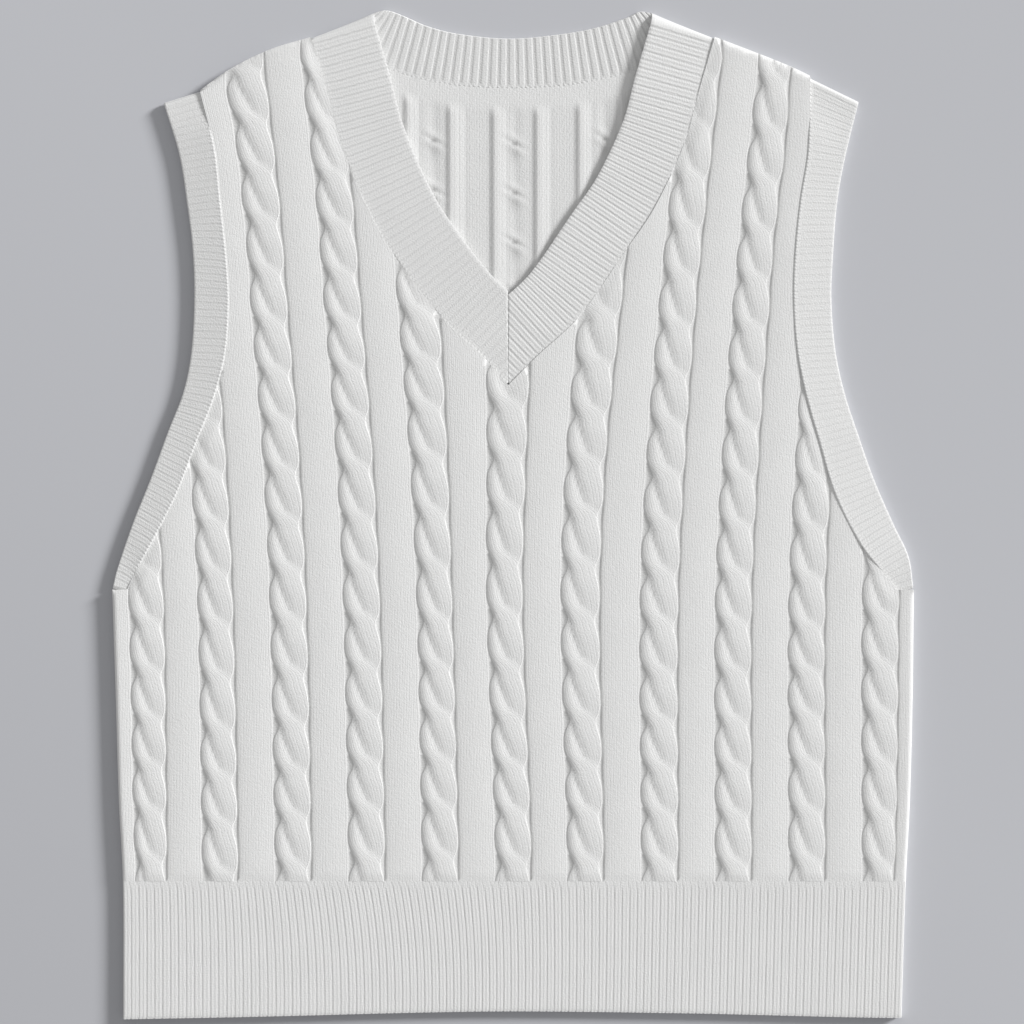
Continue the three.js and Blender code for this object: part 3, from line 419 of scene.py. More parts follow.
def make_yarn_group():
    group = bpy.data.node_groups.new("wool_yarn", "ShaderNodeTree")
    group.interface.new_socket("Place", in_out="INPUT", socket_type="NodeSocketVector")
    group.interface.new_socket("Wander", in_out="OUTPUT", socket_type="NodeSocketColor")
    group.interface.new_socket("Fuzz", in_out="OUTPUT", socket_type="NodeSocketFloat")
    group.interface.new_socket("Patches", in_out="OUTPUT", socket_type="NodeSocketFloat")
    place = group.nodes.new("NodeGroupInput").outputs["Place"]
    wander = add_node(group, "ShaderNodeTexNoise", {"Vector": place, "Scale": WANDER_SCALE})
    fuzz = add_node(group, "ShaderNodeTexNoise", {"Vector": place, "Scale": FUZZ_SCALE})
    feed(group, fuzz, {"Detail": 4, "Roughness": 0.65})
    mottle = add_node(group, "ShaderNodeTexNoise", {"Vector": place, "Scale": MOTTLE_SCALE, "Detail": 4})
    patches = math_node(group, "MULTIPLY", mottle.outputs["Fac"], 1 - FUZZ_IN_PATCHES)
    patches = math_node(group, "MULTIPLY_ADD", fuzz.outputs["Fac"], FUZZ_IN_PATCHES, patches)
    result = group.nodes.new("NodeGroupOutput")
    feed(group, result, {"Wander": wander.outputs["Color"], "Fuzz": fuzz.outputs["Fac"]})
    feed(group, result, {"Patches": patches})
    return group


yarn_group = make_yarn_group()
print("The yarn group has", len(yarn_group.nodes), "nodes")

# %% [markdown]
# ## Knit materials
# The panels and the ribs are knitted in one matt off-white wool. Light sinks into the gaps between
# stitches and into creases, more than a bump can show. So shade is painted into the colour: the gaps
# are darkened by the stitch group, and the creases by an attribute named shade, which the pieces
# that need it store on their points.

# %% Knit materials
YARN = (0.775, 0.775, 0.77)
TINT_SPREAD = 0.09
GAP_SHADE_COLOR = (0.55, 0.55, 0.55, 1)
STITCH_WANDER = (0.3, 0.8, 0)
FUZZ_DEPTH = 0.0004


def knit_material(name, stitch_depth, gap_shade):
    material = bpy.data.materials.new(name)
    material.use_nodes = True
    tree = material.node_tree
    place = add_node(tree, "ShaderNodeTexCoord").outputs["Object"]
    counted = add_node(tree, "ShaderNodeUVMap", uv_map="stitches").outputs["UV"]
    yarn = add_node(tree, "ShaderNodeGroup", {"Place": place}, node_tree=yarn_group).outputs
    wander = {0: yarn["Wander"], 1: STITCH_WANDER, 2: counted}
    moved = add_node(tree, "ShaderNodeVectorMath", wander, operation="MULTIPLY_ADD").outputs[0]
    stitch = add_node(tree, "ShaderNodeGroup", {"Stitch": moved}, node_tree=stitch_group)
    height = stitch.outputs["Height"]
    dark, light = [(*[c * (1 + spread) for c in YARN], 1) for spread in (-TINT_SPREAD, TINT_SPREAD)]
    tints = {"Factor": yarn["Patches"], "A": dark, "B": light}
    tint = add_node(tree, "ShaderNodeMix", tints, data_type="RGBA")
    # Painted shade: the gaps between stitches are darkened, much more on the ribs.
    in_gap = math_node(tree, "MULTIPLY_ADD", height, -gap_shade, gap_shade)
    gaps = {"Factor": in_gap, "A": tint.outputs["Result"], "B": GAP_SHADE_COLOR}
    gap = add_node(tree, "ShaderNodeMix", gaps, data_type="RGBA", blend_type="MULTIPLY")
    # Painted shade from the shade attribute: creases, grooves, rib valleys and hollows are darkened
    # towards black.
    crease = add_node(tree, "ShaderNodeAttribute", attribute_name="shade").outputs["Fac"]
    creases = {"Factor": crease, "A": gap.outputs["Result"], "B": (0, 0, 0, 1)}
    color = add_node(tree, "ShaderNodeMix", creases, data_type="RGBA")
    fuzz = {"Strength": 0.6, "Distance": FUZZ_DEPTH, "Height": yarn["Fuzz"]}
    normal = add_node(tree, "ShaderNodeBump", fuzz).outputs["Normal"]
    stitches = {"Strength": 1, "Distance": stitch_depth, "Height": height, "Normal": normal}
    normal = add_node(tree, "ShaderNodeBump", stitches).outputs["Normal"]
    shader = tree.nodes["Principled BSDF"]
    feed(tree, shader, {"Base Color": color.outputs["Result"], "Normal": normal})
    feed(tree, shader, {"Roughness": 0.95, "Specular IOR Level": 0.15})
    feed(tree, shader, {"Sheen Weight": 0.12, "Sheen Roughness": 0.6})
    return material


cable_knit = knit_material("cable_knit", stitch_depth=0.00006, gap_shade=0.06)
rib_knit = knit_material("rib_knit", stitch_depth=0.00008, gap_shade=0.35)
print("Materials:", cable_knit.name, rib_knit.name)

# %% [markdown]
# ## The front's wales
# Eleven rope cables run up the front. They lean outwards near the neck, so a wale is a curve, and a
# plain grid would cut across it. So the panel is laid out in wales and heights: wale number k is the
# middle of cable k, and the wales between two cables are spread evenly between their curves.

# %% Where each cable runs
CABLE_PITCH = 44
MIDDLE_CABLE = 6
LEFT_SIDE_WALE = 0.54
RIGHT_SIDE_WALE = CABLE_COUNT + 1 - LEFT_SIDE_WALE
ARM_TANGENT = 430
LEFT_ARM_CABLE = 3
RIGHT_ARM_CABLE = CABLE_COUNT + 1 - LEFT_ARM_CABLE


def cable_x(k, up):
    plumb = (k - MIDDLE_CABLE) * CABLE_PITCH
    if k == 1:
        return plumb - lean["first"](up)
    if k < MIDDLE_CABLE:
        return plumb - lean["left"](up)
    if k == MIDDLE_CABLE:
        return plumb + lean["middle"](up)
    return plumb + lean["beside" if k == MIDDLE_CABLE + 1 else "right"](up)


def arm_wale(cable, arm):
    """The wale that touches the armhole where it is deepest, counted from this cable."""
    return cable + float(arm(ARM_TANGENT) - cable_x(cable, ARM_TANGENT)) / CABLE_PITCH


LEFT_ARM_WALE = arm_wale(LEFT_ARM_CABLE, left_arm)
RIGHT_ARM_WALE = arm_wale(RIGHT_ARM_CABLE, right_arm)


def nearest_cable(wale):
    return np.clip(np.rint(wale), 1, CABLE_COUNT)


def wale_x(wale, up):
    marks = np.array([LEFT_SIDE_WALE, *range(1, CABLE_COUNT + 1), RIGHT_SIDE_WALE])
    lines = [left_side(up)]
    lines += [cable_x(k, up) for k in range(1, CABLE_COUNT + 1)]
    lines.append(right_side(up))
    lines = np.stack(lines)
    i = np.clip(np.searchsorted(marks, wale, side="right") - 1, 0, len(marks) - 2)
    share = (wale - marks[i]) / (marks[i + 1] - marks[i])
    here = np.take_along_axis(lines, i[None], 0)[0]
    there = np.take_along_axis(lines, i[None] + 1, 0)[0]
    x = mix(here, there, share)
    high = up > ARM_TANGENT
    left_share = (wale - LEFT_ARM_WALE) / (LEFT_ARM_CABLE - LEFT_ARM_WALE)
    beyond_left = high & (wale < LEFT_ARM_CABLE)
    x = np.where(beyond_left, mix(left_arm(up), lines[LEFT_ARM_CABLE], left_share), x)
    right_share = (wale - RIGHT_ARM_CABLE) / (RIGHT_ARM_WALE - RIGHT_ARM_CABLE)
    beyond_right = high & (wale > RIGHT_ARM_CABLE)
    x = np.where(beyond_right, mix(lines[RIGHT_ARM_CABLE], right_arm(up), right_share), x)
    return x + edge_wave(wale, up)


# %% [markdown]
# A cable is tight where its strands cross and loose between two crossings, so its edges wave. How
# far up the twist a point is, its phase, is the one number that all of a cable's shape follows.

# %% Crossings and the wave of a cable's edges
CABLE_HALF = 0.24
CROSSING_PITCH = 29.9
FIRST_CROSSING = 88.2
WAVE_WIDTH = 0.09


def cable_phase(wale, up):
    """Crossings passed at this height; whole numbers are crossings."""
    k = nearest_cable(wale).astype(int)
    lower = np.select([k == n + 1 for n in range(CABLE_COUNT)], [line(up) for line in drop])
    return (up + lower - FIRST_CROSSING) / CROSSING_PITCH


def edge_wave(wale, up):
    """A cable is drawn in at its crossings and swells between them."""
    off = wale - nearest_cable(wale)
    phase = cable_phase(wale, up)
    left = 0.3 + 0.25 * np.cos(2 * np.pi * phase)
    right = 0.2 + 0.25 * np.cos(2 * np.pi * (phase - 0.4))
    return hill((np.abs(off) - CABLE_HALF) / WAVE_WIDTH) * np.where(off < 0, left, right)


# %% [markdown]
# ## A rope cable
# Two strands twist round each other. Each one comes up at the left edge with a rounded head, crosses
# over to the right, and its tail runs down the right edge until it dives. Strands could be swept
# tubes, but a knitted one is a flat ridge that grows out of the cloth. So it is a height, which
# follows from how far across the cable a point is and how far below the strand's own crossing.

# %% Shape of one strand
CREASE_START = -0.9
CREASE_RUN = 1.15
CREASE_BEND = 0.55


def crease(below):
    """Left edge of the strand on top, this far below its crossing."""
    return CREASE_START + CREASE_RUN * np.maximum(below, 0) ** CREASE_BEND


def strand_sides(below):
    left = np.where(below > 0, crease(below), mix(-1.4, crease(0), smoothstep(-0.35, 0, below)))
    return left, mix(crease(below + 1), 1.5, smoothstep(-0.3, 0.02, below))


def strand_form(across, below):
    left, right = strand_sides(below)
    crest = -0.66 + 1.38 * smoothstep(-0.5, 0.65, below)
    crest = np.clip(crest, left + 0.1, right - 0.1)
    on_left = across < crest
    flank = np.where(on_left, (crest - across) / (crest - left), (across - crest) / (right - crest))
    rounded = np.maximum(1 - np.abs(flank) ** np.where(on_left, 3.4, 2.4), 0)
    prominence = smoothstep(-1.02, -0.6, below) * smoothstep(1.25, 0.3, below)
    return np.where((across > left) & (across < right), rounded * prominence, 0)


# %% [markdown]
# At any place one of three strands could be on top, and the highest wins. Light is lost in the
# crease where one presses on the next, so the same function says how deep in a crease a point is.

# %% Strands on top of each other
STRAND_BASE = 0.3
CREASE_LINE = 1.7
CREASE_WIDTH = 0.11
EDGE_RISE = 0.42


def crease_line(across, below):
    """Where the strand on top presses on the next one, darkest just below the crossing."""
    near = hill((across - crease(below)) / CREASE_WIDTH)
    return near * smoothstep(-0.03, 0.03, below) * smoothstep(0.8, 0.25, below)


def strand_forms(across, phase):
    base = np.floor(phase)
    return base, np.stack([strand_form(across, base + n - phase) for n in range(3)])


def top_strand(across, phase):
    base, forms = strand_forms(across, phase)
    return base + forms.argmax(0)


def cable_height(across, phase):
    """Height of the cable from 0 to 1, and how deep in a crease it is."""
    base, forms = strand_forms(across, phase)
    rim = np.where(across < 0, np.clip((across + 1) / EDGE_RISE, 0, 1), 1)
    edge = 0.2 + 0.8 * (1 - (1 - rim) ** 2)
    height = edge * (STRAND_BASE + (1 - STRAND_BASE) * forms.max(0))
    lines = [crease_line(across, base + n - phase) for n in range(3)]
    return height, np.maximum((1 - forms.max(0)) ** 3, CREASE_LINE * np.max(lines, 0))


# %% [markdown]
# A rope's outline isn't straight: it is pinched in at each crossing, more on the left. The columns
# of points over the cable are drawn in with it, and the groove beside it gets wider there.

# %% Outline of the rope
LEFT_PINCH = 0.33
RIGHT_PINCH = 0.2
GROOVE_FOOT = 1.02


def cable_outline(phase):
    """Where the rope's left and right edges are, in halves of its width."""
    below = np.ceil(phase) - phase
    left = np.maximum(hill(below / 0.17), hill((1 - below) / 0.25))
    right = np.maximum(hill(below / 0.28), hill((1 - below) / 0.15))
    return -1 + LEFT_PINCH * left, 1 - RIGHT_PINCH * right


def pinched(wale, up):
    """Draws the columns over a cable in to the rope's outline."""
    k = nearest_cable(wale)
    across = (wale - k) / CABLE_HALF
    left, right = cable_outline(cable_phase(k, up))
    inside = mix(left, right, (np.clip(across, -1, 1) + 1) / 2)
    drawn = np.where(across > 0, inside + np.maximum(across - 1, 0), inside + np.minimum(across + 1, 0))
    return np.where(np.abs(across) < GROOVE_FOOT, k + CABLE_HALF * drawn, wale)


# %% [markdown]
# ## The edge of a panel
# Above the underarms a panel's edge is the armholes, the shoulders and the neck. The panel is cut
# there, and its edge is then drawn onto a line of closely spaced points, which is simpler than a
# Boolean cut and leaves the columns of the knit as they are.

# %% Outline above the underarms
FINE = 0.4
UNDERARM = 257
NECK_HEIGHT = 588
NECK_SIDE = 120.8
V_POINT = (-3, 379.2)


def shoulder_line(x):
    return np.where(x < 0, left_shoulder(x), right_shoulder(x))


def armhole_and_shoulders():
    left = np.arange(UNDERARM, LEFT_SHOULDER[0]["up"], FINE)
    right = np.arange(UNDERARM, RIGHT_SHOULDER[-1]["up"], FINE)
    left_x = np.arange(LEFT_SHOULDER[0]["x"], -NECK_SIDE, FINE)
    right_x = np.arange(NECK_SIDE, RIGHT_SHOULDER[-1]["x"], FINE)
    under_left = np.arange(left_side(UNDERARM), left_arm(UNDERARM), FINE)
    under_right = np.arange(right_arm(UNDERARM), right_side(UNDERARM), FINE)
    return [
        np.column_stack([under_left, np.full(len(under_left), UNDERARM)]),
        np.column_stack([under_right, np.full(len(under_right), UNDERARM)]),
        np.column_stack([left_arm(left), left]),
        np.column_stack([right_arm(right), right]),
        np.column_stack([left_x, left_shoulder(left_x)]),
        np.column_stack([right_x, right_shoulder(right_x)]),
    ]


def front_outline():
    ups = np.arange(V_POINT[1], NECK_HEIGHT, FINE)
    neck = [np.column_stack([side(ups), ups]) for side in (left_neck, right_neck)]
    return np.concatenate(armhole_and_shoulders() + neck)


def back_outline():
    x = np.arange(-NECK_SIDE, NECK_SIDE, FINE)
    return np.concatenate(armhole_and_shoulders() + [np.column_stack([x, back_neck(x)])])


# %% [markdown]
# Small tests say what is inside a panel, and a search finds the nearest point of an outline. The
# search runs in parts, because one table of all distances would take too much memory.


# %% Inside a panel, and nearest to its edge
def inside_arms(x, up):
    between = (x > left_arm(up)) & (x < right_arm(up))
    return ((up < UNDERARM) | between) & ((np.abs(x) < NECK_SIDE) | (up < shoulder_line(x)))


def inside_front(x, up):
    in_neck = (up > V_POINT[1]) & (x > left_neck(up)) & (x < right_neck(up))
    return inside_arms(x, up) & ~in_neck & (up < NECK_HEIGHT)


def inside_back(x, up):
    return inside_arms(x, up) & ((np.abs(x) > NECK_SIDE) | (up < back_neck(x)))


def nearest(points, outline):
    """The nearest point of an outline to each point, and how far off it is."""
    found = np.empty(len(points), int)
    for start in range(0, len(points), 2000):
        part = points[start : start + 2000]
        away = ((part[:, None] - outline[None]) ** 2).sum(2)
        found[start : start + 2000] = away.argmin(1)
    return outline[found], np.hypot(*(points - outline[found]).T)


# %% [markdown]
# ## Helpers for grids
# Every piece starts as a flat grid, a primitive with as many points as the knit needs. Its points
# are moved all at once as arrays, because there are far too many to move by hand, and values that
# must outlast the cutting are stored on them as attributes.


# %% Helpers for grids and attributes
def flat_grid(name, columns, rows):
    """A grid with this many points each way, and each point's column and row."""
    bpy.ops.object.select_all(action="DESELECT")
    bpy.ops.mesh.primitive_grid_add(x_subdivisions=columns - 1, y_subdivisions=rows - 1, size=2)
    piece = bpy.context.object
    piece.name = name
    points = get_points(piece)
    column = np.rint((points[:, 0] + 1) / 2 * (columns - 1)).astype(int)
    row = np.rint((points[:, 1] + 1) / 2 * (rows - 1)).astype(int)
    return piece, column, row


def get_points(piece):
    flat = np.empty(len(piece.data.vertices) * 3, np.float32)
    piece.data.vertices.foreach_get("co", flat)
    return flat.reshape(-1, 3).astype(float)


def set_points(piece, x, up, z):
    points = np.column_stack([x, np.asarray(up) - MIDDLE_UP, z]) * MM
    piece.data.vertices.foreach_set("co", points.astype(np.float32).ravel())
    piece.data.update()


def store(piece, name, values):
    attribute = piece.data.attributes.get(name) or piece.data.attributes.new(name, "FLOAT", "POINT")
    attribute.data.foreach_set("value", np.asarray(values, np.float32))


def recall(piece, name):
    values = np.empty(len(piece.data.vertices), np.float32)
    piece.data.attributes[name].data.foreach_get("value", values)
    return values.astype(float)


def loop_table(piece):
    """For each face corner its vertex and its face."""
    mesh = piece.data
    vertex = np.empty(len(mesh.loops), np.int32)
    mesh.loops.foreach_get("vertex_index", vertex)
    sizes = np.empty(len(mesh.polygons), np.int32)
    mesh.polygons.foreach_get("loop_total", sizes)
    return vertex, np.repeat(np.arange(len(sizes)), sizes)


def set_stitches(piece, wales, courses):
    layer = piece.data.uv_layers.get("stitches") or piece.data.uv_layers.new(name="stitches")
    layer.data.foreach_set("uv", np.column_stack([wales, courses]).astype(np.float32).ravel())
    for other in [item for item in piece.data.uv_layers if item.name != "stitches"]:
        piece.data.uv_layers.remove(other)


# %% [markdown]
# ## Helpers for cutting and closing
# The faces beyond the outline are deleted and the new edge is drawn onto the outline. Then the edge
# is extruded down to a flat plane and closed with one face. Solidify would give an inside that
# copies every rib, which nobody sees, for twice as many faces.


# %% Helpers for cutting and closing
def cut_away(piece, outside):
    """Deletes the faces that are marked."""
    bpy.ops.object.mode_set(mode="EDIT")
    bpy.ops.mesh.select_mode(type="FACE")
    bpy.ops.mesh.select_all(action="DESELECT")
    bpy.ops.object.mode_set(mode="OBJECT")
    piece.data.polygons.foreach_set("select", outside)
    bpy.ops.object.mode_set(mode="EDIT")
    bpy.ops.mesh.delete(type="FACE")
    bpy.ops.object.mode_set(mode="OBJECT")


def deselect_mesh(piece):
    for part in (piece.data.vertices, piece.data.edges, piece.data.polygons):
        part.foreach_set("select", np.zeros(len(part), bool))


def edge_points(piece):
    """Which points lie on the open edge."""
    mesh = piece.data
    edge_of = np.empty(len(mesh.loops), np.int32)
    mesh.loops.foreach_get("edge_index", edge_of)
    open_edge = np.bincount(edge_of, minlength=len(mesh.edges)) == 1
    ends = np.empty(len(mesh.edges) * 2, np.int32)
    mesh.edges.foreach_get("vertices", ends)
    on_edge = np.zeros(len(mesh.vertices), bool)
    on_edge[ends.reshape(-1, 2)[open_edge].ravel()] = True
    return on_edge


SNAP_REACH = 4


def cut_to_outline(piece, x, up, inside, outline):
    """Cuts a flat grid. Gives the places of the points left and how far they are off the outline."""
    set_points(piece, x, up, 0 * x)
    vertex, face = loop_table(piece)
    count = len(piece.data.polygons)
    middle_x = np.bincount(face, x[vertex], count) / 4
    middle_up = np.bincount(face, up[vertex], count) / 4
    cut_away(piece, ~inside(middle_x, middle_up))
    points = get_points(piece) / MM
    x, up = points[:, 0], points[:, 1] + MIDDLE_UP
    target, away = nearest(np.column_stack([x, up]), outline)
    snap = edge_points(piece) & (away < SNAP_REACH)
    x, up = np.where(snap, target[:, 0], x), np.where(snap, target[:, 1], up)
    return x, up, np.where(snap, 0, away)


def close_below(piece, z):
    """Extrudes the open edge down to a flat face at height z."""
    deselect_mesh(piece)
    bpy.ops.object.mode_set(mode="EDIT")
    bpy.ops.mesh.select_mode(type="EDGE")
    bpy.ops.mesh.select_all(action="DESELECT")
    bpy.ops.mesh.select_non_manifold(extend=False, use_wire=False, use_multi_face=False)
    bpy.ops.mesh.extrude_edges_move()
    bpy.ops.transform.resize(value=(1, 1, 0), center_override=(0, 0, z * MM))
    bpy.ops.mesh.edge_face_add()
    bpy.ops.mesh.select_all(action="SELECT")
    bpy.ops.mesh.normals_make_consistent(inside=False)
    bpy.ops.object.mode_set(mode="OBJECT")


# %% [markdown]
# ## Helper for a finished piece
# Cloth is smooth to the eye, but the rim where a wall turns down isn't, so shading is smooth up to
# an angle. Each piece then takes the place of its solid and rides on the part's one body.

# %% Helper for a finished piece
SMOOTH_ANGLE = 70


def finish_piece(piece, material, node):
    bpy.ops.object.select_all(action="DESELECT")
    piece.select_set(True)
    bpy.context.view_layer.objects.active = piece
    bpy.ops.object.shade_smooth_by_angle(angle=math.radians(SMOOTH_ANGLE))
    piece.data.materials.clear()
    piece.data.materials.append(material)
    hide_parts(node)
    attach(piece, "root")
    triangles = sum(len(face.vertices) - 2 for face in piece.data.polygons)
    print(piece.name, triangles, "triangles")


# %% [markdown]
# ## Front panel
# The front is one knitted piece with cables and plain stripes in turn. Faces are spent where the
# cloth bends: columns crowd towards the edges of cables and stripes, and the narrow groove between
# the two gets a few columns of its own.

# %% Columns of the front panel
CABLE_STEPS = 15
STRIPE_STEPS = 9
SIDE_STEPS = 6
STRIPE_EDGE = 0.2556
GROOVE_COLUMNS = np.array([1.006, 1.03, 1.06])


def crowded(steps):
    """Shares from -1 to 1 that crowd towards both ends."""
    even = np.linspace(-1, 1, steps + 1)
    return (even + np.sin(even * np.pi / 2)) / 2


def front_wales():
    half = (1 - STRIPE_EDGE - LEFT_SIDE_WALE) / 2
    middle = (1 - STRIPE_EDGE + LEFT_SIDE_WALE) / 2
    side = half * crowded(SIDE_STEPS)
    marks = [middle + side, CABLE_COUNT + 1 - middle + side]
    for k in range(1, CABLE_COUNT + 1):
        marks.append(k + CABLE_HALF * crowded(CABLE_STEPS))
        marks += [k - CABLE_HALF * GROOVE_COLUMNS, k + CABLE_HALF * GROOVE_COLUMNS]
        if k < CABLE_COUNT:
            marks.append(k + 0.5 + (0.5 - STRIPE_EDGE) * crowded(STRIPE_STEPS))
    return np.unique(np.concatenate(marks).round(6))


print("The front panel has", len(front_wales()), "columns of points")

# %% [markdown]
# A cable pulls the cloth together, so it lies between two grooves. The stripe on its right rises
# out of the groove with a round shoulder, and the one on its left ends in a step, as in the
# photograph. Near the hem all of it flattens, because the rib holds the cloth there, and at the
# sides and shoulders the cloth turns under.

# %% Height of the front panel
GROOVE_WALL = 2.45
CABLE_RISE = 1.0
STRIPE_WALL = 2.75
STRIPE_CROWN = 0.4
HEM_WALL = 2.4
HEM_RIB_RISE = 0.3
EDGE_WALL = 2.2
EDGE_ROLL = 1.8
CABLE_END = 1.003
GROOVE_END = 1.062
SHADED_END = 1.065
STRIPE_ROUNDING = 0.12
FLAT_AT_EDGE = 0.4
CREASE_SHADE = 0.2
GROOVE_SHADE = 0.05
ABOVE_ARMHOLE = 500


def roll(distance):
    """Rise from 0 at an edge to 1 inside it, round like a folded edge."""
    t = np.clip(distance / EDGE_ROLL, 0, 1)
    return np.sqrt(1 - (1 - t) ** 2)


def side_roll(x, up):
    """The same at the sides, below the underarms."""
    from_side = np.minimum(x - left_side(up), right_side(up) - x)
    return np.where(up < UNDERARM, roll(from_side), 1)


def front_wall(wale, x, up, from_outline):
    """Thickness of the front at each point, and how dark its crease or groove is."""
    k = nearest_cable(wale)
    off = wale - k
    across = np.clip(off / CABLE_HALF, -1, 1)
    height, crease_depth = cable_height(across, cable_phase(k, up))
    near_hem = smoothstep(HEM_HEIGHT, HEM_HEIGHT + 5, up)
    fade = mix(FLAT_AT_EDGE, 1, near_hem * smoothstep(0, 8, from_outline))
    cable = GROOVE_WALL + CABLE_RISE * height * fade
    inward = np.clip((np.abs(off) - CABLE_HALF) / (0.5 - CABLE_HALF), 0, 1)
    beyond = np.abs(off) / CABLE_HALF
    in_stripe = beyond > GROOVE_END
    rim = np.clip((beyond - GROOVE_END) / STRIPE_ROUNDING, 0, 1)
    shoulder = np.where(off > 0, 0.2 + 0.8 * np.sqrt(1 - (1 - rim) ** 2), 1) * in_stripe
    stripe = mix(GROOVE_WALL, STRIPE_WALL, shoulder) + STRIPE_CROWN * (1 - (1 - inward) ** 2)
    stripe = np.where(in_stripe, mix(HEM_WALL + HEM_RIB_RISE, stripe, near_hem), stripe)
    wall = np.where(beyond < CABLE_END, cable, stripe)
    in_groove = (off < 0) & (beyond < SHADED_END)
    shade = np.where(beyond < CABLE_END, CREASE_SHADE * crease_depth, GROOVE_SHADE * in_groove)
    on_shoulder = (np.abs(x) > NECK_SIDE - 0.1) & (up > ABOVE_ARMHOLE)
    over = np.where(on_shoulder, roll(shoulder_line(x) - up), 1)
    return mix(EDGE_WALL, wall, np.minimum(side_roll(x, up), over)), shade


# %% [markdown]
# The grid's points are moved to their wales and heights while it is still flat. It is cut next, and
# only then raised, because the shape near an edge depends on how far off the edge a point is. The
# wale of each point is stored first, so that it is still known after the cut.

# %% Make the front panel
ROW_STEP = 1.75


def make_front():
    wales = front_wales()
    ups = np.arange(HEM_HEIGHT + SEAM_GAP, NECK_HEIGHT + ROW_STEP, ROW_STEP)
    piece, column, row = flat_grid("front_panel_knit", len(wales), len(ups))
    wale, up = wales[column], ups[row]
    store(piece, "wale", wale)
    x = wale_x(pinched(wale, up), up)
    x, up, away = cut_to_outline(piece, x, up, inside_front, front_outline())
    wall, shade = front_wall(recall(piece, "wale"), x, up, away)
    set_points(piece, x, up, FRONT_INSIDE + wall)
    store(piece, "shade", shade)
    close_below(piece, FRONT_INSIDE)
    return piece


front = make_front()
print("The front panel is", round(front.dimensions.z / MM, 1), "mm thick")

# %% [markdown]
# On a cable the stitches follow the strand on top, five wales to a strand, and elsewhere they count
# straight across. Two strands meet along the same points, so the count is made for each face by its
# own strand, which is what a UV map allows and a point attribute doesn't.

# %% Stitches of the front panel
WALE_WIDTH = 2.0
COURSE_HEIGHT = 1.5
STRAND_WALES = 5


def front_stitches(piece):
    points = get_points(piece) / MM
    wale = recall(piece, "wale")
    up = points[:, 1] + MIDDLE_UP
    vertex, face = loop_table(piece)
    count = len(piece.data.polygons)
    corners = np.bincount(face, minlength=count)
    face_wale = np.bincount(face, wale[vertex], count) / corners
    face_up = np.bincount(face, up[vertex], count) / corners
    k = nearest_cable(face_wale)
    face_across = np.clip((face_wale - k) / CABLE_HALF, -1, 1)
    strand = top_strand(face_across, cable_phase(k, face_up))[face]
    below = strand - cable_phase(k[face], up[vertex])
    left, right = strand_sides(below)
    across = (wale[vertex] - k[face]) / CABLE_HALF
    share = (across - left) / (right - left)
    in_cable = (np.abs(face_wale - k) < CABLE_HALF)[face]
    wales = np.where(in_cable, share * STRAND_WALES, wale[vertex] * CABLE_PITCH / WALE_WIDTH)
    set_stitches(piece, wales, up[vertex] / COURSE_HEIGHT)


front_stitches(front)
finish_piece(front, cable_knit, "front_panel")

# %% [markdown]
# ## Back panel
# The back is the same cloth, and only its reverse side shows, inside the neck. The purl wales beside
# each cable are knit when seen from here, and stand up as bars between fields of purl. A bar rises
# steeply on its left and falls off to its right, as the photograph's light shows.

# %% Bars of the reverse side
BACK_BARS = [
    dict(left=-64.3, right=-56.8),
    dict(left=-38.5, right=-28.7),
    dict(left=-12.1, right=-4),
    dict(left=13.7, right=22.4),
    dict(left=39, right=47),
    dict(left=64.2, right=70.6),
]
BAR_RISE = 1.0
BAR_BELOW_SEAM = 9.5


def below_seam(x, up, reach):
    """0 at the seam of the back neck and 1 well below it."""
    return smoothstep(0, reach, back_neck(x) - BAR_BELOW_SEAM - up)


def bar_relief(x, up):
    relief = np.zeros_like(x)
    for bar in BACK_BARS:
        rising = smoothstep(bar["left"] - 2.4, bar["left"] + 1.4, x)
        falling = smoothstep(bar["right"] + 2, bar["left"], x)
        relief = np.maximum(relief, BAR_RISE * rising * falling * below_seam(x, up, 8))
    return relief


# %% [markdown]
# Where a cable crosses on the outside, the inside puckers: a slit with a bump on either side, in a
# hollow that runs up behind the cable. The purl around it is a field of short bumps.

# %% Puckers and purl of the reverse side
PUCKER_PITCH = 29.5
PUCKER_COUNT = 4
PUCKER_BUMP = 0.35
PUCKER_SLIT = 0.3
PURL_RISE = 0.12
HOLLOW_DEPTH = 0.3
PUCKERS = [
    dict(x=-47.5, up=526),
    dict(x=1, up=524),
    dict(x=55, up=527),
]


def pucker_relief(x, up):
    relief = np.zeros_like(x)
    for pucker in PUCKERS:
        for n in range(PUCKER_COUNT):
            across = (x - pucker["x"]) / 5.5
            along = (up - pucker["up"] + n * PUCKER_PITCH + (x - pucker["x"]) * 0.5) / 2.4
            bumps = hill(along - 1.3) + hill(along + 1.3)
            relief = relief + hill(across) * (PUCKER_BUMP * bumps - PUCKER_SLIT * hill(along / 0.4))
    return relief


def purl_relief(x, up):
    bumps = np.sin((x + up * 0.55) * 1.9) * np.sin((up - x * 0.2) * 2.1)
    hollow = sum(hill((x - pucker["x"]) / 3.2) for pucker in PUCKERS)
    return PURL_RISE * bumps - HOLLOW_DEPTH * hollow * below_seam(x, up, 8)


# %% [markdown]
# The light that reaches the reverse side comes in over the neckband, so its hollows are darker than
# relief this low can make them. The shade attribute adds that: beside the bars, in two fine lines
# along each bar, over the ground, and in and below each pucker.

# %% Shade of the reverse side
BESIDE_SHADE = 0.05
AFTER_SHADE = 0.08
LINE_SHADE = 0.12
GROUND_SHADE = 0.03
SLIT_SHADE = 0.35
PUCKER_SHADE = 0.15
LINES_ON_BAR = (0.36, 0.68)


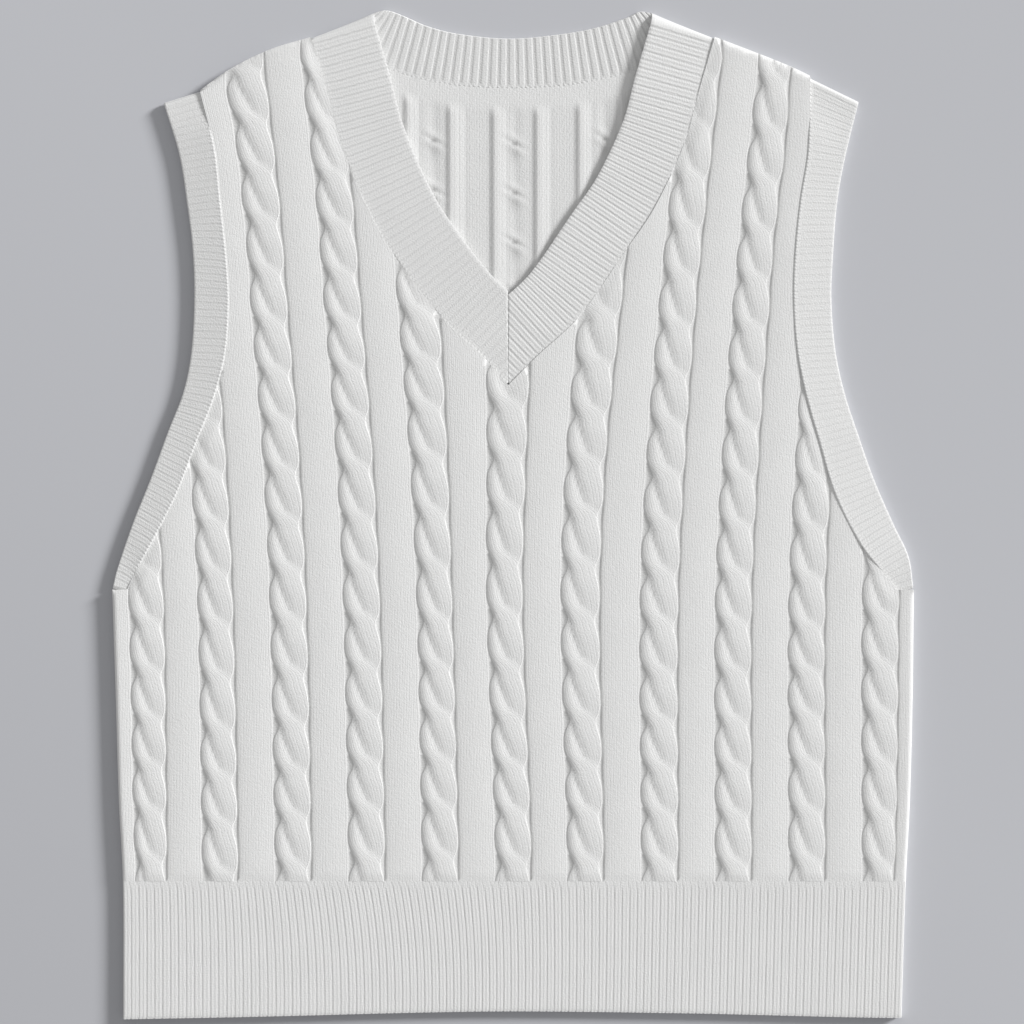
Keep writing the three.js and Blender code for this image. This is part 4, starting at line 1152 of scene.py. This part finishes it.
def bar_shade(x):
    beside, after, lines, on_bar = 0 * x, 0 * x, 0 * x, 0 * x
    for bar in BACK_BARS:
        left, right = bar["left"], bar["right"]
        beside = beside + hill((x - left + 1) / 2.6)
        after = after + hill((x - right - 1) / 1.3)
        on_bar = on_bar + smoothstep(left - 0.5, left + 0.5, x) * smoothstep(right + 0.5, right - 0.5, x)
        for share in LINES_ON_BAR:
            lines = lines + hill((x - mix(left, right, share)) / 0.7)
    edges = BESIDE_SHADE * np.minimum(beside, 1) + AFTER_SHADE * after
    return edges + LINE_SHADE * lines + GROUND_SHADE * (1 - on_bar)


def reverse_shade(x, up):
    shade = below_seam(x, up, 6) * bar_shade(x)
    for pucker in PUCKERS:
        for n in range(PUCKER_COUNT):
            aside, down = x - pucker["x"], pucker["up"] - n * PUCKER_PITCH - up
            shade = shade + SLIT_SHADE * hill(aside / 1.8) * hill(down / 1.2)
            shade = shade + PUCKER_SHADE * hill(aside / 3) * hill((down - 6) / 5)
    return shade


# %% [markdown]
# The back is mostly hidden, so its grid is fine only where the neck shows it. One grid with columns
# and rows of two widths does that without a seam between two meshes.

# %% Make the back panel
BACK_FINE = 1.0
BACK_COARSE = 3.6
BACK_FINE_HALF = 78
BACK_FINE_UP = 428
HALF_WIDTH = 240
STRAIGHT_HALF = 170
SIDE_DROP = 0.3


def back_columns():
    outer = np.arange(BACK_FINE_HALF + BACK_COARSE, HALF_WIDTH + 1, BACK_COARSE)
    fine = np.arange(-BACK_FINE_HALF, BACK_FINE_HALF + 0.1, BACK_FINE)
    return np.concatenate([[-HALF_WIDTH], -outer[::-1], fine, outer, [HALF_WIDTH]])


def make_back():
    xs = back_columns()
    low = np.arange(HEM_HEIGHT + SEAM_GAP, BACK_FINE_UP, BACK_COARSE)
    ups = np.concatenate([low, np.arange(BACK_FINE_UP, NECK_HEIGHT + 1.5, BACK_FINE)])
    piece, column, row = flat_grid("back_panel_knit", len(xs), len(ups))
    x, up = xs[column], ups[row]
    narrower = np.where(x < 0, left_side(up), -right_side(up)) / -HALF_WIDTH
    x = np.where(np.abs(x) > STRAIGHT_HALF, x * narrower, x)
    x, up, away = cut_to_outline(piece, x, up, inside_back, back_outline())
    shown = (np.abs(x) < BACK_FINE_HALF) & (up > BACK_FINE_UP)
    relief = bar_relief(x, up) + pucker_relief(x, up) + purl_relief(x, up)
    store(piece, "shade", np.where(shown, reverse_shade(x, up), 0))
    wall = mix(BACK_WALL - SIDE_DROP, BACK_WALL, side_roll(x, up))
    set_points(piece, x, up, wall + np.where(shown, relief, 0))
    close_below(piece, 0)
    points = get_points(piece)[loop_table(piece)[0]] / MM
    set_stitches(piece, points[:, 0] / WALE_WIDTH, (points[:, 1] + MIDDLE_UP) / COURSE_HEIGHT)
    return piece


back = make_back()
finish_piece(back, cable_knit, "back_panel")

# %% [markdown]
# ## Hems
# The hem is a one-by-one rib: each rib is one wale of knit that stands up between wales of purl. A
# bump would do from far off, but the ribs catch the light in the photograph, so they are real relief
# from a formula for one rib. The reverse of a rib shows at the back of the neck.

# %% Rib section
RIB_STEPS = 12


def from_valley(phase):
    """How far from a valley between ribs, in rib widths: 0.5 on the crest."""
    return 0.5 - np.abs(phase - np.floor(phase) - 0.5)


def rib_form(phase):
    """Height of a rib from 0 to 1: steep sides, and a dip between the two legs of its wale."""
    off = from_valley(phase)
    return smoothstep(-0.06, 0.18, off) - 0.4 * hill((off - 0.5) / 0.09)


def reverse_rib_form(phase):
    """The same rib from the inside: narrower ridges with wide valleys between them."""
    off = from_valley(phase)
    return smoothstep(0.08, 0.26, off) - 0.25 * hill((off - 0.5) / 0.07)


# %% [markdown]
# The front hem lies a little unevenly: its ribs lean at the foot, the foot waves, and each rib
# starts at its own height. A grid with twelve columns to a rib follows all of it, and its rows crowd
# at the foot, where the edge is round, and at the seam.

# %% Front hem
HEM_RIBS = 102
HEM_ROW = 3.6
HEM_LEAN = 9
HEM_SHADE = 0.12
FOOT_ROUNDING = 2.2
FOOT_EDGE = 0.35
FOOT_SCALLOP = 0.5
RIB_START = 1.5


def hem_rows(step):
    foot = [0, 0.005, 0.012, 0.024]
    top = [0.95, 0.97, 0.985, 1]
    return np.concatenate([foot, np.linspace(0.05, 0.93, int(HEM_HEIGHT / step)), top])


def make_front_hem():
    columns = HEM_RIBS * RIB_STEPS + 1
    rows = hem_rows(HEM_ROW)
    piece, column, row = flat_grid("front_hem_rib", columns, len(rows))
    share, climb = column / (columns - 1), rows[row]
    foot_x = mix(left_side(0), right_side(0), share)
    foot = hem_edge(foot_x)
    rib = rib_form(share * HEM_RIBS)
    up = mix(foot - FOOT_SCALLOP * rib, HEM_HEIGHT + SEAM_GAP, climb)
    sway = HEM_LEAN * hill((foot_x + 110) / 105) * (1 - climb**2.2) * np.sin(np.pi * share)
    x = mix(left_side(up), right_side(up), share) + sway
    uneven = np.sin(share * HEM_RIBS * 2.1) * np.sin(share * HEM_RIBS * 0.77)
    start = RIB_START * (1 + uneven)
    rib = HEM_RIB_RISE * mix(1, rib, smoothstep(0, 3, HEM_HEIGHT - start - up))
    from_side = np.minimum(share, 1 - share) * (right_side(0) - left_side(0))
    rounded = np.sqrt(1 - (1 - np.clip((up - foot) / FOOT_ROUNDING, 0, 1)) ** 2)
    full = np.minimum(roll(from_side), mix(FOOT_EDGE, 1, rounded))
    set_points(piece, x, up, FRONT_INSIDE + mix(EDGE_WALL, HEM_WALL + rib, full))
    store(piece, "shade", HEM_SHADE * (1 - rib / HEM_RIB_RISE) ** 2)
    vertex, face = loop_table(piece)
    set_stitches(piece, (share * HEM_RIBS)[vertex], up[vertex] / COURSE_HEIGHT)
    close_below(piece, FRONT_INSIDE)
    return piece


front_hem = make_front_hem()
finish_piece(front_hem, rib_knit, "front_hem")

# %% [markdown]
# The back hem is hidden under the front one, so a plain sheet of nearly the same outline does, with
# the stitches alone for its ribs.

# %% Back hem
BACK_HEM_COLUMNS = 121
BACK_HEM_ROW = 8


def make_back_hem():
    rows = hem_rows(BACK_HEM_ROW)
    piece, column, row = flat_grid("back_hem_rib", BACK_HEM_COLUMNS, len(rows))
    share, climb = column / (BACK_HEM_COLUMNS - 1), rows[row]
    foot = hem_edge(mix(left_side(0), right_side(0), share))
    up = mix(foot, HEM_HEIGHT, climb)
    x = mix(left_side(up), right_side(up), share)
    set_points(piece, x, up, BACK_WALL + 0 * x)
    vertex, face = loop_table(piece)
    set_stitches(piece, (share * HEM_RIBS * 2)[vertex], up[vertex] / COURSE_HEIGHT)
    close_below(piece, 0)
    return piece


back_hem = make_back_hem()
finish_piece(back_hem, rib_knit, "back_hem")

# %% [markdown]
# ## Bands
# A band is a strip of rib that is sewn on along one edge. Each of its sections runs from the seam out
# to the free edge and back along the inside, and the sections follow each other along the seam. At a
# shoulder they turn about a fold line, so that the strip goes over from the front to underneath in
# one piece. A curve with a bevel can't fold like that, so each point comes from a formula for its
# section.

# %% Section of a band
FOLD_AXIS = 2.6
FOLD_GAP = 0.3
BAND_WALL = 1.8
OUTER_SHARES = np.array([0, 0.012, 0.03, 0.055, 0.085, 0.14, 0.3, 0.5, 0.7, 0.86, 0.94, 0.98, 1])
INNER_SHARES = np.array([0.98, 0.9, 0.5, 0.14, 0.085, 0.055, 0.03, 0.012])
CHAIN_WIDTH = 1.7
CHAIN_RISE = 0.25
SEAM_OVERLAP = 0.4


def unit(vectors):
    return vectors / np.linalg.norm(vectors, axis=-1, keepdims=True)


def band_section():
    """Shares from the seam to the free edge and back, and which of them are on the outside."""
    share = np.concatenate([OUTER_SHARES, INNER_SHARES])
    return share, np.arange(len(share)) < len(OUTER_SHARES)


def band_chain(along, rib):
    """The chain of stitches beside the seam, where the band was picked up."""
    bead = hill((along - CHAIN_WIDTH / 2) / CHAIN_WIDTH * 2.4)
    return CHAIN_RISE * bead * (1 + 0.35 * np.cos(4 * np.pi * rib))


# %% [markdown]
# The strip is closed in edit mode: doubles are merged where its sections meet, and a band that isn't
# a ring has its two ends filled. Its normals are made to point outwards last.


# %% Close a band
def close_band(piece, is_ring):
    deselect_mesh(piece)
    bpy.ops.object.mode_set(mode="EDIT")
    bpy.ops.mesh.select_all(action="SELECT")
    bpy.ops.mesh.remove_doubles(threshold=0.00002)
    if not is_ring:
        bpy.ops.mesh.select_all(action="DESELECT")
        bpy.ops.mesh.select_mode(type="EDGE")
        bpy.ops.mesh.select_non_manifold(extend=False, use_wire=False, use_multi_face=False)
        bpy.ops.mesh.fill_holes(sides=0)
        bpy.ops.mesh.select_all(action="SELECT")
    bpy.ops.mesh.normals_make_consistent(inside=False)
    bpy.ops.object.mode_set(mode="OBJECT")


# %% [markdown]
# The relief of a band is its ribs and the chain. Where the neckband runs behind the neck, the inside
# of its cloth is what shows, so there the ribs are on the other side of the wall.

# %% Make a band
EDGE_REACH = 0.35
SEAM_REACH = 0.7
TOP_SHADE = 0.09
REVERSE_SHADE = 0.12
FULLY_UNDER = 0.99


def make_band(name, run, is_ring, inner_back, rise):
    """run: arrays of seam, free, out_seam, out_free, turn (0 on top, pi below), lifts, rib."""
    share, outer = band_section()
    stations = len(run["turn"])
    section = len(share)
    columns = stations + (1 if is_ring else 0)
    piece, column, row = flat_grid(name, columns, section + 1)
    s, p = column % stations, row % section
    t = share[p]
    turn = run["turn"][s]
    under = run["seam"] + unit(run["seam"] - run["free"]) * SEAM_OVERLAP
    base = mix(under[s], run["free"][s], t[:, None])
    outward = mix(run["out_seam"][s], run["out_free"][s], t[:, None])
    width = np.hypot(*(run["free"][s] - run["seam"][s]).T)
    along = t * width
    back = turn / math.pi
    form = mix(rib_form(run["rib"][s]), reverse_rib_form(run["rib"][s]), back)
    rib = rise * (1 + 0.2 * back) * form * np.clip(width / 4, 0, 1)
    rib = rib * smoothstep(CHAIN_WIDTH * 0.6, CHAIN_WIDTH * 1.3, along)
    rib = rib + band_chain(along, run["rib"][s])
    inside = mix(FOLD_GAP, inner_back - rib * (inner_back < FOLD_GAP), back)
    outside = mix(FOLD_GAP + BAND_WALL + rib, FOLD_AXIS, back)
    from_edge = np.minimum((width - along) / EDGE_REACH, (along + SEAM_OVERLAP) / SEAM_REACH)
    round_off = np.sqrt(1 - (1 - np.clip(from_edge, 0, 1)) ** 2)
    half = (outside - inside) / 2
    middle = mix((outside + inside) / 2, inside + half * 0.9, 1 - round_off)
    edge_share = np.where(t > 0.5, 0.85, 0.35)
    radius = middle + np.where(outer[p], half, -half) * mix(edge_share, 1, round_off)
    radius = np.where(back > FULLY_UNDER, np.minimum(radius, FOLD_AXIS), radius)
    place = base + outward * (radius * np.sin(turn))[:, None]
    z = FOLD_AXIS + radius * np.cos(turn) + mix(run["seam_lift"][s], run["lift"][s], t)
    set_points(piece, place[:, 0], place[:, 1], z)
    past_chain = smoothstep(0.6, 1.3, along / CHAIN_WIDTH)
    store(piece, "shade", mix(TOP_SHADE, REVERSE_SHADE, back) * (1 - form) ** 2 * past_chain)
    vertex, face = loop_table(piece)
    rib_count = np.concatenate([run["rib"], run["rib"][:1]])[np.minimum(column, stations)]
    set_stitches(piece, rib_count[vertex], along[vertex] / COURSE_HEIGHT)
    close_band(piece, is_ring)
    return piece


# %% [markdown]
# A band follows an edge, so its sections stand at stations along that edge. Ribs are spaced evenly
# along the middle of the band, so they fan out a little on a curve, as real ones do.

# %% Stations along a band
FOLD_REACH = FOLD_AXIS + SEAM_GAP
LINE_POINTS = 4000


def travel(line):
    """Distance travelled at each point of a line."""
    return np.concatenate([[0], np.cumsum(np.hypot(*np.diff(line, axis=0).T))])


def points_at(stops, travelled, line):
    return np.column_stack([np.interp(stops, travelled, line[:, n]) for n in (0, 1)])


def even_pairs(table, seam_on_outline, pitch, start):
    """Pairs of seam and free points, evenly spaced along the middle of a band."""
    fine = np.linspace(0, len(table) - 1, LINE_POINTS)
    seam = [curve(table, key, by="row")(fine) for key in ("seam_x", "seam_up")]
    free = [curve(table, key, by="row")(fine) for key in ("free_x", "free_up")]
    seam, free = seam_on_outline(np.column_stack(seam)), np.column_stack(free)
    travelled = travel((seam + free) / 2)
    stops = np.arange(start, travelled[-1] - FOLD_REACH, pitch / RIB_STEPS)
    return points_at(stops, travelled, seam), points_at(stops, travelled, free), stops / pitch


# %% [markdown]
# The stations are laid out in runs: along the top, round a fold and back underneath. A run says for
# each station where the seam and the free edge are, how far the section has turned, how high it is
# lifted, and how many ribs have gone by.

# %% Runs on top, round a fold and underneath
FOLD_STEPS = 12
FOLD_RIBS = 1.5


def top_run(seam, free, rib, seam_lift=0.0, lift=0.0):
    zero = np.zeros_like(seam)
    flat = np.zeros(len(seam))
    run = dict(seam=seam, free=free, out_seam=zero, out_free=zero, turn=flat, rib=rib)
    return run | dict(seam_lift=flat + seam_lift, lift=flat + lift)


def fold_run(upper, lower, out_seam, out_free, rib_start, lift=0.0):
    share = (np.arange(FOLD_STEPS) + 0.5) / FOLD_STEPS
    seam, free = [mix(high, low, share[:, None]) for high, low in zip(upper, lower)]
    run = top_run(seam, free, rib_start + share * FOLD_RIBS, 0.0, lift * (1 - share))
    out_seam, out_free = [np.tile(out, (FOLD_STEPS, 1)) for out in (out_seam, out_free)]
    return run | dict(out_seam=out_seam, out_free=out_free, turn=share * math.pi)


def under_run(seam, free, rib):
    return top_run(seam, free, rib) | dict(turn=np.full(len(seam), math.pi))


def reverse(run):
    return {key: values[::-1] for key, values in run.items()}


def join_runs(runs):
    return {key: np.concatenate([run[key] for run in runs]) for key in runs[0]}


# %% [markdown]
# ## Armhole bands
# Each armhole band is a ring: it runs up the front of the armhole, folds over the shoulder, comes
# down underneath and folds again under the arm. Only its top has relief that shows, so underneath
# there is one station for each rib.

# %% Armhole bands
ARM_RIB_PITCH = 4.3
ARM_RIB_RISE = 0.2
ARM_SEAM_LIFT = 1.6
ARM_LIFT_REACH = 30
UNDERARM_REACH = 0.8


def make_armband(name, table, arm):
    on_outline = lambda seam: np.column_stack([arm(seam[:, 1]), seam[:, 1]])
    seam, free, rib = even_pairs(table, on_outline, ARM_RIB_PITCH, UNDERARM_REACH)
    from_fold = np.minimum(rib - rib[0], rib[-1] - rib) * ARM_RIB_PITCH
    lift = ARM_SEAM_LIFT * smoothstep(0, ARM_LIFT_REACH, from_fold)
    high = [unit(line[-1] - line[-9]) for line in (seam, free)]
    low = [unit(line[0] - line[8]) for line in (seam, free)]
    coarse = np.unique(np.append(np.arange(0, len(seam), RIB_STEPS), len(seam) - 1))[::-1]
    top_end, low_end = (seam[-1], free[-1]), (seam[0], free[0])
    run = join_runs([
        top_run(seam, free, rib, lift),
        fold_run(top_end, top_end, *high, rib[-1]),
        under_run(seam[coarse], free[coarse], rib[coarse]),
        reverse(fold_run(low_end, low_end, *low, rib[0])),
    ])
    return make_band(name, run, True, FOLD_GAP, ARM_RIB_RISE)


left_band = make_armband("left_armband_rib", LEFT_ARMBAND, left_arm)
finish_piece(left_band, rib_knit, "left_armband")
right_band = make_armband("right_armband_rib", RIGHT_ARMBAND, right_arm)
finish_piece(right_band, rib_knit, "right_armband")

# %% [markdown]
# ## Neckband
# One strip starts at the mitred joint at centre front, climbs one side of the V, folds over the
# shoulder, runs round the back of the neck with its inside showing, and comes down again. Its ribs
# stand square to the seam, so the mitre cuts them off at a slant.

# %% One side of the V
NECKBAND_WIDTH = 39
NECK_RIB_PITCH = 5.05
NECK_LIFT = 0.9
NECK_SEAM_LIFT = 0.6
SHOULDER_LIFT = 1.6
SHOULDER_REACH = 90
RIB_SMOOTHING = 18
NARROWEST = 1


def neck_side(side, sign):
    """Stations down one side of the V, from the shoulder to the joint."""
    ups = np.linspace(NECK_HEIGHT, V_POINT[1], LINE_POINTS)
    line = np.column_stack([side(ups), ups])
    travelled = travel(line)
    length = travelled[-1]
    stops = np.arange(FOLD_REACH, length - 0.2, NECK_RIB_PITCH / RIB_STEPS)
    seam = points_at(stops, travelled, line)
    ahead = points_at(np.minimum(stops + RIB_SMOOTHING, length), travelled, line)
    behind = points_at(np.maximum(stops - RIB_SMOOTHING, 0), travelled, line)
    along = unit(ahead - behind)
    across = np.column_stack([-along[:, 1] * sign, along[:, 0] * sign])
    room = (V_POINT[0] - seam[:, 0]) / across[:, 0]
    width = np.minimum(NECKBAND_WIDTH, room)
    seam, across, width, stops = [item[width > NARROWEST] for item in (seam, across, width, stops)]
    free = seam + across * width[:, None]
    rise = smoothstep(0, 0.2 * length, stops) * width / NECKBAND_WIDTH
    lift = NECK_LIFT * rise
    if sign < 0:
        lift = lift + SHOULDER_LIFT * smoothstep(SHOULDER_REACH, 0, stops)
    return top_run(seam, free, stops / NECK_RIB_PITCH, NECK_SEAM_LIFT * rise, lift)


# %% [markdown]
# The two sides of the V and the back of the neck are joined by folds. The right shoulder lies a
# little higher than the left one, which lifts its fold.

# %% Neckband
BACK_RIB_PITCH = 5.4
NECK_RIB_RISE = 0.23
NECK_BACK_INNER = 0.25


def make_neckband():
    left = neck_side(left_neck, 1)
    right = neck_side(right_neck, -1)
    on_outline = lambda seam: np.column_stack([seam[:, 0], back_neck(seam[:, 0])])
    seam, free, rib = even_pairs(BACK_NECK, on_outline, BACK_RIB_PITCH, FOLD_REACH)
    first = BACK_NECK[0]
    fold = unit(np.array([first["free_x"] - first["seam_x"], first["free_up"] - first["seam_up"]]))
    out_left = np.array([-fold[1], fold[0]])
    out_right = out_left * (-1, 1)
    left_top, left_low = (left["seam"][0], left["free"][0]), (seam[0], free[0])
    right_top, right_low = (right["seam"][0], right["free"][0]), (seam[-1], free[-1])
    run = join_runs([
        reverse(left),
        fold_run(left_top, left_low, out_left, out_left, 0.0),
        under_run(seam, free, rib),
        reverse(fold_run(right_top, right_low, out_right, out_right, 0.0, SHOULDER_LIFT)),
        right,
    ])
    return make_band("neckband_rib", run, False, NECK_BACK_INNER, NECK_RIB_RISE)


neckband = make_neckband()
finish_piece(neckband, rib_knit, "neckband")
